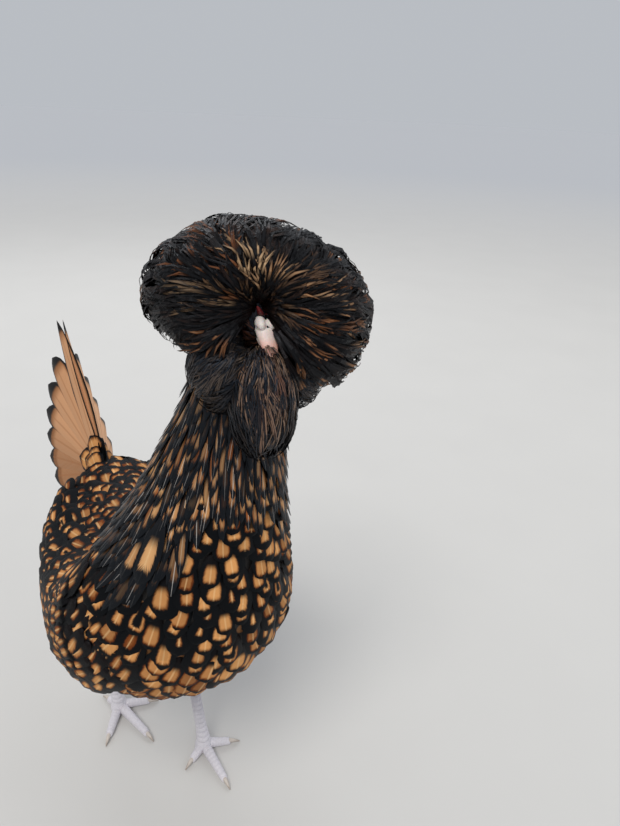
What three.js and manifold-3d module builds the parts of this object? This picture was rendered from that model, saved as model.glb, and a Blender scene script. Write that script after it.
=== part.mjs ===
// A gold-laced crested and bearded hen, life size, standing with her head turned: a still model.
// Millimetres, +Z up. She faces -Y, her left side is +X, and her soles stand at z = 0.
import * as THREE from "three";
import { mergeVertices } from "three/addons/utils/BufferGeometryUtils.js";
import Module from "manifold-3d";

const wasm = await Module();
wasm.setup();

const TURN = 2 * Math.PI;
const rad = THREE.MathUtils.degToRad;
const vec = (x, y, z) => new THREE.Vector3(x, y, z);
const clamp = THREE.MathUtils.clamp;
const lerp = THREE.MathUtils.lerp;

// Gap between neighbouring pieces.
const GAP = 0.35;

// Sections of the trunk from the rump to the head, each an ellipse:
// back y and z, belly y and z, half width, centre x, yaw in degrees.
const SECTIONS = [
  [146, 216, 146, 216, 0, 0, 0],
  [140, 232, 140, 200, 20, 0, 0],
  [122, 237, 124, 172, 46, 0, 0],
  [90, 237, 98, 143, 68, 0, 0],
  [52, 240, 60, 127, 81, 0, 0],
  [16, 249, 12, 123, 86, 0, 0],
  [-4, 261, -36, 129, 87, 0, 0],
  [-12, 276, -75, 149, 82, 0, 0],
  [-18, 292, -101, 181, 73, 2, 0],
  [-24, 311, -111, 223, 60, 7, 0],
  [-31, 333, -108, 270, 47, 13, -2],
  [-36, 356, -101, 317, 38, 20, -5],
  [-38, 379, -93, 358, 31, 29, -10],
  [-39, 402, -90, 394, 27, 36, -15],
  [-47, 421, -88, 413, 20, 38, -15],
];
const RUMP = 0.12;
const NECK_ROOT = 9;
const NECK_TOP = 13.9;

// Head.
const SKULL = { at: vec(38, -72, 427), radii: vec(16.5, 20, 17.5), yaw: rad(-14), pitch: rad(17) };
const EYE = { side: 13.2, forward: 9.5, up: 0.5, radius: 4.3 };
const BEAK = { root: 17.5, tip: 42, drop: -4.5, halfWidth: 6.8, rise: 8.6 };
const COMB = { forward: 19.5, up: 12, length: 4.5, radius: 2 };

// Feather masses of the head: an outer shape, the side that the feathers spring from,
// how many spring from the whole of it, and each one's width.
const CREST = {
  at: vec(44, -67, 428), radii: vec(67, 56, 50), turn: yawPitch(rad(-16), 0, rad(11)),
  pole: vec(-0.05, -0.93, 0.34), bareAngle: rad(26), count: 69, width: 24,
  grows: (way) => way.z > -0.74 && !(way.y < 0 && way.z < 0.02 && Math.abs(way.x) < 0.42),
};
const BEARD = {
  at: vec(26, -104, 383), radii: vec(19, 19, 33), turn: yawPitch(rad(-14), 0),
  pole: vec(0, -0.1, 1), bareAngle: rad(34), count: 26, width: 14,
  grows: (way) => way.y < 0.35,
};
const MUFF = {
  right: {
    at: vec(11, -83, 399), radii: vec(18, 21, 23), turn: yawPitch(rad(-14), 0),
    pole: vec(0.5, -0.5, 0.7), bareAngle: rad(36), count: 20, width: 14, grows: (way) => way.x < 0.45,
  },
  left: {
    at: vec(52, -93, 396), radii: vec(18, 20, 22), turn: yawPitch(rad(-14), 0),
    pole: vec(-0.5, -0.5, 0.7), bareAngle: rad(36), count: 20, width: 14, grows: (way) => way.x > -0.45,
  },
};

// Hackle feathers in tiers round the neck: station of the roots, count, length, width and lift.
const HACKLE = [
  { station: 9.45, count: 15, length: 56, width: 26, lift: 1.8 },
  { station: 10.4, count: 12, length: 54, width: 22, lift: 2.2 },
  { station: 11.4, count: 9, length: 50, width: 21, lift: 2.4, bareThroat: rad(50) },
  { station: 12.3, count: 8, length: 42, width: 19, lift: 2.6, bareThroat: rad(62) },
];

// Wing feathers in tiers: the roots run from the upper to the lower angle, in degrees from the back.
// Primaries come first, then secondaries, greater coverts and lesser coverts.
const WING_TIERS = [
  { count: 2, station: [4.4, 4.3], angle: [114, 121], length: 96, width: 16, lift: 1.9, sway: -22 },
  { count: 6, station: [4.9, 4.8], angle: [59, 109], length: 86, width: 24, lift: 2.4, sway: -9 },
  { count: 5, station: [5.6, 5.6], angle: [61, 111], length: 44, width: 26, lift: 4.2, sway: -4 },
  { count: 4, station: [6.4, 6.4], angle: [64, 108], length: 36, width: 28, lift: 5.9, sway: -2 },
];
// The closed patch under them on the flank: stations, angles from the back, and thickness.
const WING_PATCH = {
  station: [3.4, 6.7], middle: [82, 87], spread: [26, 33], sunk: 3, lift: 1.1, swell: 0.3,
  rows: 6, columns: 6,
};

// Tail: an upright tent of seven feathers a side, with coverts at its foot.
const TAIL = {
  root: vec(0, 124, 224), count: 7, length: 163, shortening: 0.39, width: 32, high: rad(45.5), fan: rad(66),
  roof: rad(23), ridgeOut: 4.2, tipInward: 3, layer: 1, droop: 5,
  base: { at: vec(0, 131, 222), radii: vec(14, 23, 16), pitch: rad(35) },
};
const COVERTS = { count: 4, length: 62, width: 30, from: rad(4), to: rad(84), out: 2.2 };

// Legs: hock, ankle and pad places, with the bearing of each toe from the pad.
const LEGS = {
  right: {
    hock: vec(-40, 76, 90), pad: vec(-34, 63.5, 0),
    tips: [[-58, 29], [-19, 10.6], [1.4, 50.5], [-44, 85]],
  },
  left: {
    hock: vec(17, 4, 90), pad: vec(18, -17, 0),
    tips: [[49, -30], [20, -67], [-6, -30], [25, 5]],
  },
};
const TOE_NAMES = ["outer", "middle", "inner", "back"];
const SHANK = { ankle: 13, hockRadius: 8.2, radius: 5.4, sides: 9, scutes: 9, step: 0.7 };
const TOE = { radius: 4.7, tipRadius: 2.9, sides: 6, claw: 11, scutes: 4, step: 0.6 };
const THIGH = { topRadius: 27, reach: 48 };

const COLOURS = {
  lace: { color: 0x6f4a26, roughness: 0.8 },
  dark: { color: 0x1a1614, roughness: 0.7 },
  buff: { color: 0xc9925f, roughness: 0.75 },
  beak: { color: 0xd9b8a8, roughness: 0.5 },
  comb: { color: 0xa8382c, roughness: 0.6 },
  eye: { color: 0x9c3a18, roughness: 0.1 },
  leg: { color: 0xb9bcc0, roughness: 0.6 },
  claw: { color: 0xcfc6bb, roughness: 0.5 },
};

// Solids.
function solid(geometry) {
  geometry.deleteAttribute("normal");
  geometry.deleteAttribute("uv");
  const merged = mergeVertices(geometry, 1e-4);
  return new wasm.Manifold(new wasm.Mesh({
    numProp: 3,
    vertProperties: merged.attributes.position.array,
    triVerts: new Uint32Array(merged.index.array),
  }));
}

function largest(body) {
  return body.decompose().reduce((most, piece) => (piece.volume() > most.volume() ? piece : most));
}

// A closed solid through rings of points. A ring of one point is a pole, and open ends are capped.
// Every other diagonal is mirrored, so that a thin blade is split alike on both faces.
function loft(rings) {
  const points = rings.flat();
  const starts = [];
  rings.reduce((at, ring) => (starts.push(at), at + ring.length), 0);
  const faces = [];
  for (let i = 0; i + 1 < rings.length; i++) {
    const [a, b] = [rings[i], rings[i + 1]];
    const count = Math.max(a.length, b.length);
    for (let j = 0; j < count; j++) {
      const k = (j + 1) % count;
      const [aj, ak] = a.length > 1 ? [starts[i] + j, starts[i] + k] : [starts[i], starts[i]];
      const [bj, bk] = b.length > 1 ? [starts[i + 1] + j, starts[i + 1] + k] : [starts[i + 1], starts[i + 1]];
      if (aj === ak) faces.push([aj, bk, bj]);
      else if (bj === bk) faces.push([aj, ak, bj]);
      else if (j % 2) faces.push([aj, ak, bj], [ak, bk, bj]);
      else faces.push([aj, ak, bk], [aj, bk, bj]);
    }
  }
  const cap = (ring, start, flip) => {
    for (let j = 1; j + 1 < ring.length; j++) {
      faces.push(flip ? [start, start + j + 1, start + j] : [start, start + j, start + j + 1]);
    }
  };
  cap(rings[0], 0, true);
  cap(rings.at(-1), starts.at(-1), false);
  const volume = faces.reduce((sum, [a, b, c]) => {
    return sum + points[a].dot(vec(0, 0, 0).crossVectors(points[b], points[c]));
  }, 0);
  const index = faces.flatMap((face) => (volume > 0 ? face : face.toReversed()));
  return solid(new THREE.BufferGeometry().setFromPoints(points).setIndex(index));
}

function ball(at, radii, turn = new THREE.Matrix4(), rows = 10) {
  const place = turn.clone().scale(radii).setPosition(at);
  return solid(new THREE.SphereGeometry(1, 2 * rows, rows).applyMatrix4(place));
}

function yawPitch(yaw, pitch, roll = 0) {
  return new THREE.Matrix4().makeRotationFromEuler(new THREE.Euler(pitch, roll, yaw, "ZXY"));
}

// The trunk's surface: station along its length, angle from the back (0) over the left side (90 degrees).
function section(station) {
  const last = SECTIONS.length - 1;
  const at = clamp(station, 0, last);
  const i = Math.min(Math.floor(at), last - 1);
  const w = at - i;
  const [p1, p2] = [SECTIONS[i], SECTIONS[i + 1]];
  return p1.map((value, k) => {
    const before = i > 0 ? SECTIONS[i - 1][k] : 2 * value - p2[k];
    const after = i + 2 <= last ? SECTIONS[i + 2][k] : 2 * p2[k] - value;
    const [v0, v1] = [(p2[k] - before) / 2, (after - value) / 2];
    return ((2 * value - 2 * p2[k] + v0 + v1) * w ** 3 + (3 * p2[k] - 3 * value - 2 * v0 - v1) * w ** 2
      + v0 * w + value);
  });
}

function bare(station, angle) {
  const [backY, backZ, bellyY, bellyZ, half, x, yaw] = section(station);
  const across = half * Math.sin(angle);
  const along = ((backY - bellyY) / 2) * Math.cos(angle);
  const up = ((backZ - bellyZ) / 2) * Math.cos(angle);
  const [c, s] = [Math.cos(rad(yaw)), Math.sin(rad(yaw))];
  return vec(x + across * c - along * s, (backY + bellyY) / 2 + across * s + along * c,
    (backZ + bellyZ) / 2 + up);
}

function outward(station, angle) {
  const e = 1e-3;
  const around = bare(station, angle + e).sub(bare(station, angle - e));
  const along = bare(station + e, angle).sub(bare(station - e, angle));
  return along.cross(around).normalize();
}

function onTrunk(station, angle, lift = 0) {
  return bare(station, angle).addScaledVector(outward(station, angle), lift);
}

function ring(count, place) {
  return Array.from({ length: count }, (_, k) => place((k / count) * TURN));
}

function trunk(from, to, steps, sides, lift) {
  return loft(Array.from({ length: steps + 1 }, (_, i) => {
    const station = lerp(from, to, i / steps);
    return ring(sides, (angle) => onTrunk(station, angle, lift(station)));
  }));
}

// Trunk and neck.
const TRUNK_SIDES = 22;
const TRUNK_STEPS = 13;

const torso = trunk(RUMP, NECK_ROOT, TRUNK_STEPS, TRUNK_SIDES, () => 0);
const rumpZone = ball(onTrunk(RUMP, 0).add(onTrunk(RUMP, Math.PI)).multiplyScalar(0.5), vec(8, 3, 8));
const torsoZone = trunk(RUMP, NECK_ROOT + 0.02, TRUNK_STEPS, TRUNK_SIDES, () => GAP).add(rumpZone);

// Head and its parts, in the head's own frame: x to her left, -y forward, z up.
const headFrame = yawPitch(SKULL.yaw, SKULL.pitch).setPosition(SKULL.at);
const inHead = (x, y, z) => vec(x, y, z).applyMatrix4(headFrame);
const headTurn = yawPitch(SKULL.yaw, SKULL.pitch);

function headSolid(grow) {
  return ball(SKULL.at, SKULL.radii.clone().addScalar(grow), headTurn, 5)
    .add(ball(inHead(0, 3, 9), vec(15, 15, 13).addScalar(grow), headTurn, 4));
}

const skull = headSolid(0);
const headZone = headSolid(GAP);

function eyePlace(side) {
  return inHead(side * EYE.side, -EYE.forward, EYE.up);
}

const SIDES = { right: -1, left: 1 };

function eye(side, grow = 0) {
  return ball(eyePlace(side), vec(1, 1, 1).multiplyScalar(EYE.radius + grow), headTurn, 5);
}

// Height of the mouth line along the beak.
const mouth = (t) => lerp(0.5, BEAK.drop, t ** 1.3);

const upperBeak = loft([0, 0.2, 0.4, 0.6, 0.8, 1].map((t) => {
  const half = BEAK.halfWidth * Math.sqrt(1 - 0.94 * t * t);
  return ring(10, (angle) => {
    const up = Math.max(0, Math.sin(angle)) * BEAK.rise * (1 - 0.75 * t ** 2);
    const down = Math.min(0, Math.sin(angle)) * 0.17 * (1 - t * 0.8);
    return inHead(half * Math.cos(angle), -lerp(BEAK.root, BEAK.tip, t), mouth(t) + up + down);
  });
}));
const lowerBeak = loft([0, 0.5, 0.85].map((t) => {
  const half = (BEAK.halfWidth - 0.6) * Math.sqrt(1 - 0.8 * t);
  return ring(10, (angle) => {
    const z = mouth(t) - GAP - 3 + 2.6 * Math.sin(angle) * (1 - 0.5 * t);
    return inHead(half * Math.cos(angle), -lerp(BEAK.root, BEAK.tip - 3, t), z);
  });
}));

// Feathers.
// A blade along a line of points, thickest at its shaft, with its flat side to the face directions.
const BLADE = [[0, 0.3], [0.45, 0.94], [0.84, 0.86]];
const SEGMENT_ENDS = [...BLADE.map(([t]) => t), 1];
const THICKNESS = 1.1;

function feather(line, faces, width, tilt = 0) {
  const rings = BLADE.map(([, share], i) => {
    const along = line[i + 1].clone().sub(line[Math.max(0, i - 1)]).normalize();
    const face = faces[i].clone().addScaledVector(along, -faces[i].dot(along)).normalize()
      .applyAxisAngle(along, tilt);
    const side = along.cross(face).multiplyScalar((width * share) / 2);
    const half = face.multiplyScalar(THICKNESS / 2);
    const at = line[i];
    return [at.clone().add(side), at.clone().add(half), at.clone().sub(side), at.clone().sub(half)];
  });
  return loft([...rings, [line.at(-1)]]);
}

// Directions spread evenly over a sphere, counted from a pole.
function evenWays(count, pole) {
  const turn = new THREE.Quaternion().setFromUnitVectors(vec(0, 0, 1), pole.clone().normalize());
  return Array.from({ length: count }, (_, k) => {
    const height = 1 - (2 * k + 1) / count;
    const around = k * Math.PI * (3 - Math.sqrt(5));
    const flat = Math.sqrt(1 - height * height);
    return vec(flat * Math.cos(around), flat * Math.sin(around), height).applyQuaternion(turn);
  });
}

function between(a, b, share) {
  const turn = new THREE.Quaternion().setFromUnitVectors(a, b);
  return a.clone().applyQuaternion(new THREE.Quaternion().slerp(turn, share));
}

// A mass of feathers that spring from one side of a core and part over it, out to an ellipsoid.
function plume({ at, radii, turn, pole, bareAngle, count, width, grows }, seed) {
  const random = seeded(seed);
  const start = pole.clone().normalize();
  const place = (way, share) => way.clone().multiply(radii).multiplyScalar(share).applyMatrix4(turn).add(at);
  const core = ball(at, radii.clone().multiplyScalar(0.5), turn, 5);
  const blades = evenWays(count, start)
    .filter((way) => way.angleTo(start) > bareAngle && grows(way))
    .map((way) => {
      const reach = 0.97 + 0.09 * random();
      const bend = new THREE.QuadraticBezierCurve3(
        place(between(start, way, 0.42), 0.36),
        place(between(start, way, 0.7), 0.88),
        place(way, reach),
      );
      const line = SEGMENT_ENDS.map((t) => bend.getPoint(t));
      const faces = line.map((point) => point.clone().sub(at).normalize());
      return feather(line, faces, width * (0.85 + 0.3 * random()));
    });
  return wasm.Manifold.union([core, ...blades]);
}

function seeded(seed) {
  let state = seed;
  return () => {
    state = (state * 1664525 + 1013904223) % 4294967296;
    return state / 4294967296;
  };
}

// A feather that lies along the trunk with its tip to the rear.
function laid({ station, angle, length, width, lift, sway = 0, sunk = 2.2, tilt = 0 }) {
  const line = [];
  const faces = [];
  let at = station;
  let before = 0;
  SEGMENT_ENDS.forEach((t) => {
    const turned = angle + sway * t;
    const stretch = bare(at, turned).distanceTo(bare(at - 0.05, turned)) / 0.05;
    at = Math.max(0.4, at - (length * (t - before)) / stretch);
    before = t;
    line.push(onTrunk(at, turned, t === 0 ? -sunk : lift));
    faces.push(outward(at, turned));
  });
  return feather(line, faces, width, tilt);
}

const neckLift = (station) => -3 * clamp((station - NECK_ROOT) * 2, 0, 1);

function neckWithHackle() {
  const random = seeded(11);
  const core = trunk(NECK_ROOT + 0.02, NECK_TOP, 6, 16, neckLift);
  const blades = HACKLE.flatMap(({ station, count, length, width, lift, bareThroat = 0 }, tier) => {
    return Array.from({ length: count }, (_, k) => ({
      station: station + 0.12 * (random() - 0.5),
      angle: ((k + (tier % 2) / 2 + 0.2 * (random() - 0.5)) / count) * TURN,
      length: length * (0.9 + 0.2 * random()),
      width: width * (0.92 + 0.16 * random()),
      lift,
      sunk: 5,
      tilt: rad(9),
    })).filter(({ angle }) => Math.abs(angle - Math.PI) >= bareThroat)
      .map((blade) => laid({ ...blade, length: blade.length * (0.82 + 0.18 * Math.cos(blade.angle)) }));
  });
  return wasm.Manifold.union([core, ...blades]).subtract(torsoZone).subtract(headZone);
}

// Wings: a closed patch on the flank, with the flight feathers and coverts laid over it in tiers.
function wing(side) {
  const random = seeded(side > 0 ? 23 : 29);
  const { rows, columns } = WING_PATCH;
  const at = (u, v, lift) => {
    const middle = lerp(...WING_PATCH.middle, u);
    const spread = lerp(...WING_PATCH.spread, Math.sin(u * Math.PI * 0.6));
    return onTrunk(lerp(...WING_PATCH.station, u), side * rad(middle + spread * (2 * v - 1)), lift);
  };
  const rings = [];
  for (let i = 0; i <= rows; i++) {
    const u = i / rows;
    const top = [];
    const bottom = [];
    for (let j = 0; j <= columns; j++) {
      const v = j / columns;
      const swell = Math.sin(v * Math.PI) * Math.sin(u * Math.PI * 0.9 + 0.15);
      top.push(at(u, v, WING_PATCH.lift + WING_PATCH.swell * swell));
      bottom.push(at(u, v, -WING_PATCH.sunk));
    }
    rings.push([...top, ...bottom.reverse()]);
  }
  const blades = WING_TIERS.flatMap(({ count, station, angle, length, width, lift, sway }) => {
    return Array.from({ length: count }, (_, k) => {
      const t = k / (count - 1);
      return laid({
        station: lerp(station[0], station[1], t) + 0.06 * (random() - 0.5),
        angle: side * rad(lerp(angle[0], angle[1], t)),
        length: length * (0.95 + 0.1 * random()),
        width: width * (0.95 + 0.1 * random()),
        lift,
        sway: side * rad(sway),
        sunk: -1.2,
        tilt: side * rad(7),
      });
    });
  });
  return wasm.Manifold.union([loft(rings), ...blades]).subtract(torsoZone);
}

// Tail feathers: each side is one slope of a tent under the ridge that the middle pair makes.
// The middle pair lies outermost, and each next feather one layer further in.
function tailSide(side) {
  const ridge = vec(0, Math.cos(TAIL.high), Math.sin(TAIL.high));
  const down = vec(0, Math.sin(TAIL.high), -Math.cos(TAIL.high)).multiplyScalar(Math.cos(TAIL.roof))
    .add(vec(side * Math.sin(TAIL.roof), 0, 0));
  const face = ridge.clone().cross(down).multiplyScalar(-side).normalize();
  const blade = (turn, length, width, layer, tipInward = 0) => {
    const along = ridge.clone().multiplyScalar(Math.cos(turn)).addScaledVector(down, Math.sin(turn));
    const droop = down.clone().multiplyScalar(Math.cos(turn)).addScaledVector(ridge, -Math.sin(turn));
    const foot = TAIL.root.clone().add(vec(side * TAIL.ridgeOut, 0, 0)).addScaledVector(face, layer);
    const line = SEGMENT_ENDS.map((t) => {
      return foot.clone().addScaledVector(along, t * length).addScaledVector(droop, TAIL.droop * t * t)
        .add(vec(t === 1 ? -side * tipInward : 0, 0, 0));
    });
    return feather(line, SEGMENT_ENDS.map(() => face), width);
  };
  const quills = Array.from({ length: TAIL.count }, (_, k) => {
    const share = k / (TAIL.count - 1);
    const length = TAIL.length * (1 - TAIL.shortening * share ** 0.55);
    const tipInward = k === 0 ? TAIL.tipInward : 0;
    return blade(share * TAIL.fan, length, TAIL.width, -k * TAIL.layer, tipInward);
  });
  const coverts = Array.from({ length: COVERTS.count }, (_, k) => {
    const share = k / (COVERTS.count - 1);
    const turn = lerp(COVERTS.from, COVERTS.to, share);
    const length = COVERTS.length * (1 - 0.2 * Math.abs(share - 0.4));
    return blade(turn, length, COVERTS.width, COVERTS.out - share);
  });
  return [...quills, ...coverts];
}

function tail() {
  const { base } = TAIL;
  const foot = ball(base.at, base.radii, yawPitch(0, base.pitch), 5);
  return wasm.Manifold.union([foot, ...tailSide(-1), ...tailSide(1)]).subtract(torsoZone);
}

// Legs and feet.
function level(at, radius, sides, z = at.z) {
  return ring(sides, (angle) => {
    return vec(at.x + radius * Math.cos(angle), at.y + radius * Math.sin(angle), z);
  });
}

function thigh(leg) {
  const top = vec(leg.hock.x * 0.95, leg.hock.y - 16, leg.hock.z + THIGH.reach + 14);
  const foot = leg.hock.clone().setZ(leg.hock.z + GAP);
  return loft([0, 0.25, 0.6, 1].map((t) => {
    return level(foot.clone().lerp(top, t), lerp(SHANK.hockRadius + 1.5, THIGH.topRadius, t ** 0.8), 14);
  })).subtract(torsoZone);
}

// Lengths along a limb for scutes that overlap like rings: each starts wide and ends narrow.
function scuteSteps(count, step) {
  return Array.from({ length: count }, (_, k) => [[k / count, step], [(k + 0.86) / count, 0]]).flat()
    .concat([[1, 0]]);
}

function shank(leg) {
  const foot = leg.pad.clone().setZ(SHANK.ankle + GAP);
  return loft(scuteSteps(SHANK.scutes, SHANK.step).map(([t, step]) => {
    const swell = 1.4 * Math.exp(-((t / 0.12) ** 2));
    const hock = (SHANK.hockRadius - SHANK.radius) * clamp((t - 0.72) / 0.24, 0, 1);
    const radius = SHANK.radius - SHANK.step / 2 + swell + hock + step;
    return level(foot.clone().lerp(leg.hock, t), radius, SHANK.sides);
  }));
}

function toe(pad, tip, radius) {
  const along = vec(tip[0] - pad.x, tip[1] - pad.y, 0);
  const length = along.length() - TOE.claw;
  along.normalize();
  const across = vec(-along.y, along.x, 0);
  return loft(scuteSteps(TOE.scutes, TOE.step).map(([t, step]) => {
    const r = lerp(radius, TOE.tipRadius, t) - TOE.step / 2 + (t === 0 ? 0 : step);
    const rise = 1.7 * r;
    return ring(TOE.sides, (angle) => {
      const out = r * Math.cos(angle + 0.1);
      const z = rise / 2 + (rise / 2 + 0.6) * Math.sin(angle + 0.1);
      return pad.clone().addScaledVector(along, t * length).addScaledVector(across, out)
        .setZ(Math.max(0, z));
    });
  }));
}

function foot(leg) {
  const ankle = loft([
    level(leg.pad, 7.5, 10, 0),
    level(leg.pad, 8, 10, 3),
    level(leg.pad, 7.2, 10, 8),
    level(leg.pad, SHANK.radius + 1.4, 10, SHANK.ankle),
  ]);
  return leg.tips.reduce((all, tip) => all.add(toe(leg.pad, tip, TOE.radius)), ankle);
}

function claw(pad, tip) {
  const along = vec(tip[0] - pad.x, tip[1] - pad.y, 0).normalize();
  const across = vec(-along.y, along.x, 0);
  const start = vec(tip[0], tip[1], 0).addScaledVector(along, -TOE.claw + GAP);
  return loft([0, 0.35, 0.7, 1].map((t) => {
    const centre = start.clone().addScaledVector(along, t * TOE.claw).setZ(lerp(2.9, 1.2, t ** 1.5));
    const r = lerp(2.1, 0, t ** 1.3);
    if (r === 0) return [centre.setZ(0.4)];
    return ring(6, (angle) => centre.clone().addScaledVector(across, r * Math.cos(angle))
      .add(vec(0, 0, Math.max(-centre.z + 0.3, r * Math.sin(angle)))));
  }));
}

// The scene: one named mesh for each piece, with its base at z = 0 under the middle of its box.
const hen = new THREE.Group();

function addPiece(name, body, finish) {
  const { vertProperties, triVerts, numProp, numVert } = largest(body).getMesh();
  const positions = new Float32Array(numVert * 3);
  for (let i = 0; i < numVert; i++) {
    positions.set(vertProperties.subarray(i * numProp, i * numProp + 3), i * 3);
  }
  const geometry = new THREE.BufferGeometry();
  geometry.setAttribute("position", new THREE.BufferAttribute(positions, 3));
  geometry.setIndex(new THREE.BufferAttribute(triVerts, 1));
  const { color, roughness } = finish;
  const mesh = new THREE.Mesh(geometry, new THREE.MeshStandardMaterial({ color, roughness, metalness: 0 }));
  mesh.name = name;
  hen.add(mesh);
}

const grown = (shape, by) => ball(shape.at, shape.radii.clone().addScalar(by), shape.turn, 9);
const eyeZones = eye(-1, GAP).add(eye(1, GAP));
const lidZones = eye(-1, 2).add(eye(1, 2));
const beakZone = ball(inHead(0, -29, 2), vec(11, 18.5, 15), headTurn, 6);
const neckZone = trunk(NECK_ROOT, NECK_TOP - 0.9, 8, TRUNK_SIDES, () => 8)
  .add(trunk(NECK_ROOT, SECTIONS.length - 1, 8, TRUNK_SIDES, () => GAP));
const throatLift = (station) => neckLift(station) + GAP;
const throatZone = trunk(NECK_ROOT, SECTIONS.length - 1, 8, TRUNK_SIDES, throatLift);
const beardZone = grown(BEARD, 1.2);
const muffZones = wasm.Manifold.union(Object.values(MUFF).map((muff) => grown(muff, 1.2)));
const without = (body, ...zones) => zones.reduce((rest, zone) => rest.subtract(zone), body);

function lid(side) {
  const turn = new THREE.Matrix4().makeRotationY(Math.PI / 2);
  const place = headTurn.clone().setPosition(eyePlace(side).add(inHead(side * 1.4, 0, 0).sub(SKULL.at)));
  return solid(new THREE.TorusGeometry(EYE.radius, 1, 4, 10).applyMatrix4(turn).applyMatrix4(place));
}

function nostril(side) {
  const bulb = ball(inHead(side * 3.1, -22, 7), vec(2.9, 5, 3.2), headTurn, 4);
  const slit = ball(inHead(side * 5.2, -23.6, 6.6), vec(1.4, 2.6, 0.9), headTurn, 3);
  return { bulb, slit };
}

function combHorn(side, grow = 0) {
  const root = inHead(side * 1.6, -COMB.forward, COMB.up - 2);
  const tip = inHead(side * 4.6, -COMB.forward - 0.5, COMB.up + COMB.length);
  return loft([0, 0.4, 0.8].map((t) => {
    const centre = root.clone().lerp(tip, t);
    return ring(7, (angle) => centre.clone().add(vec(Math.cos(angle), Math.sin(angle), 0)
      .multiplyScalar(lerp(COMB.radius, 1, t) + grow)));
  }).concat([[tip]]));
}

function comb(grow) {
  return combHorn(-1, grow).add(combHorn(1, grow));
}

addPiece("torso", torso, COLOURS.lace);
addPiece("head", without(skull.add(lid(-1)).add(lid(1)), eyeZones), COLOURS.dark);
const nostrils = Object.values(SIDES).map(nostril);
const fullBeak = nostrils.reduce((beak, { bulb, slit }) => beak.add(bulb).subtract(slit), upperBeak);
addPiece("upper_beak", without(fullBeak, headZone), COLOURS.beak);
addPiece("lower_beak", without(lowerBeak, headZone), COLOURS.beak);
const beakAbove = fullBeak.translate(inHead(0, -0.2, GAP).sub(SKULL.at).toArray());
addPiece("comb", without(comb(0), headZone, beakAbove), COLOURS.comb);
addPiece("neck", neckWithHackle(), COLOURS.dark);
const crestZones = [headZone, neckZone, lidZones, beakZone, comb(GAP), beardZone, muffZones];
addPiece("crest", without(plume(CREST, 5), ...crestZones), COLOURS.dark);
addPiece("beard", without(plume(BEARD, 7), throatZone, headZone, beakZone, muffZones), COLOURS.dark);
addPiece("tail", tail(), COLOURS.buff);
for (const [name, side] of Object.entries(SIDES)) {
  const leg = LEGS[name];
  const muff = plume(MUFF[name], 13 + side);
  addPiece(`muff_${name}`, without(muff, neckZone, headZone, lidZones, beakZone), COLOURS.dark);
  addPiece(`eye_${name}`, eye(side), COLOURS.eye);
  addPiece(`wing_${name}`, wing(side), COLOURS.lace);
  addPiece(`thigh_${name}`, thigh(leg), COLOURS.lace);
  addPiece(`shank_${name}`, shank(leg), COLOURS.leg);
  addPiece(`foot_${name}`, foot(leg), COLOURS.leg);
  leg.tips.forEach((tip, k) => addPiece(`claw_${name}_${TOE_NAMES[k]}`, claw(leg.pad, tip), COLOURS.claw));
}

const box = new THREE.Box3().setFromObject(hen);
hen.position.set(-(box.min.x + box.max.x) / 2, -(box.min.y + box.max.y) / 2, -box.min.z);

const scene = new THREE.Group();
scene.add(hen);
export default scene;
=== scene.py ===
"""Finish of a gold-laced crested and bearded hen, life size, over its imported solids.

Sizes are in millimetres in the design's own frame: she faces -Y, her left side is +X.
"""

import logging
import math
from dataclasses import dataclass, field
from enum import Enum

import bpy
import numpy as np
from mathutils import Matrix, Vector

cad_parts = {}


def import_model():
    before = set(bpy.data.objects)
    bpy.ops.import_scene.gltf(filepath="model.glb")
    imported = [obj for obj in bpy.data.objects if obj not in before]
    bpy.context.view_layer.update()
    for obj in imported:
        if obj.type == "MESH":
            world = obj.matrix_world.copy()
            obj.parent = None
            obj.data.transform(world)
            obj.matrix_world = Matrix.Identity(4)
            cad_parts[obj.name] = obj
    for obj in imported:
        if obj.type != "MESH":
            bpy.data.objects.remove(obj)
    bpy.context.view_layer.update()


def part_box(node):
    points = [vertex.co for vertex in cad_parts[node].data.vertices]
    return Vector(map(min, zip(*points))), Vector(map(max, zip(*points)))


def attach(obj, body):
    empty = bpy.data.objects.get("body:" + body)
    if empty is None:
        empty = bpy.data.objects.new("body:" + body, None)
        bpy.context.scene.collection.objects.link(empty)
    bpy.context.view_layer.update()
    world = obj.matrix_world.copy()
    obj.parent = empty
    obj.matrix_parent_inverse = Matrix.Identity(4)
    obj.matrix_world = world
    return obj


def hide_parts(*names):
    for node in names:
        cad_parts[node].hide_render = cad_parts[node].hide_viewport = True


Array = np.ndarray
Colour = tuple[float, float, float]
Place = tuple[float, float, float]

LOG = logging.getLogger("hen")
MM = 0.001
FULL = 2.0 * math.pi
GOLDEN = math.pi * (3.0 - math.sqrt(5.0))
# The rotate operator turns the other way round where there is no window.
TURN_SIGN = -1.0
# Width of one feather on its coat's OFBake map, and the map's margin and span.
PATCH = 0.003
MAP_EDGE, MAP_SPAN = 0.02, 0.96
# How far a strand's tone leaves that of its feather.
OWN_TONE = 0.35
# The rearmost station that a feather reaches, and a short way along the stations.
REAR, NEAR = 0.35, 0.05
# The photograph's width and height in pixels.
PHOTO = (620, 826)


class Side(Enum):
    """A side of the hen, with its sign along X."""

    RIGHT = -1
    LEFT = 1

    @property
    def word(self) -> str:
        """The side's name in lower case."""
        return self.name.lower()


class Marking(Enum):
    """How a feather's gold is laid out."""

    LACED = "laced"
    STREAKED = "streaked"


def unit(vectors: Array) -> Array:
    """Vectors along the last axis, scaled to length one."""
    return vectors / np.maximum(np.linalg.norm(vectors, axis=-1, keepdims=True), 1e-9)


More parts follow.
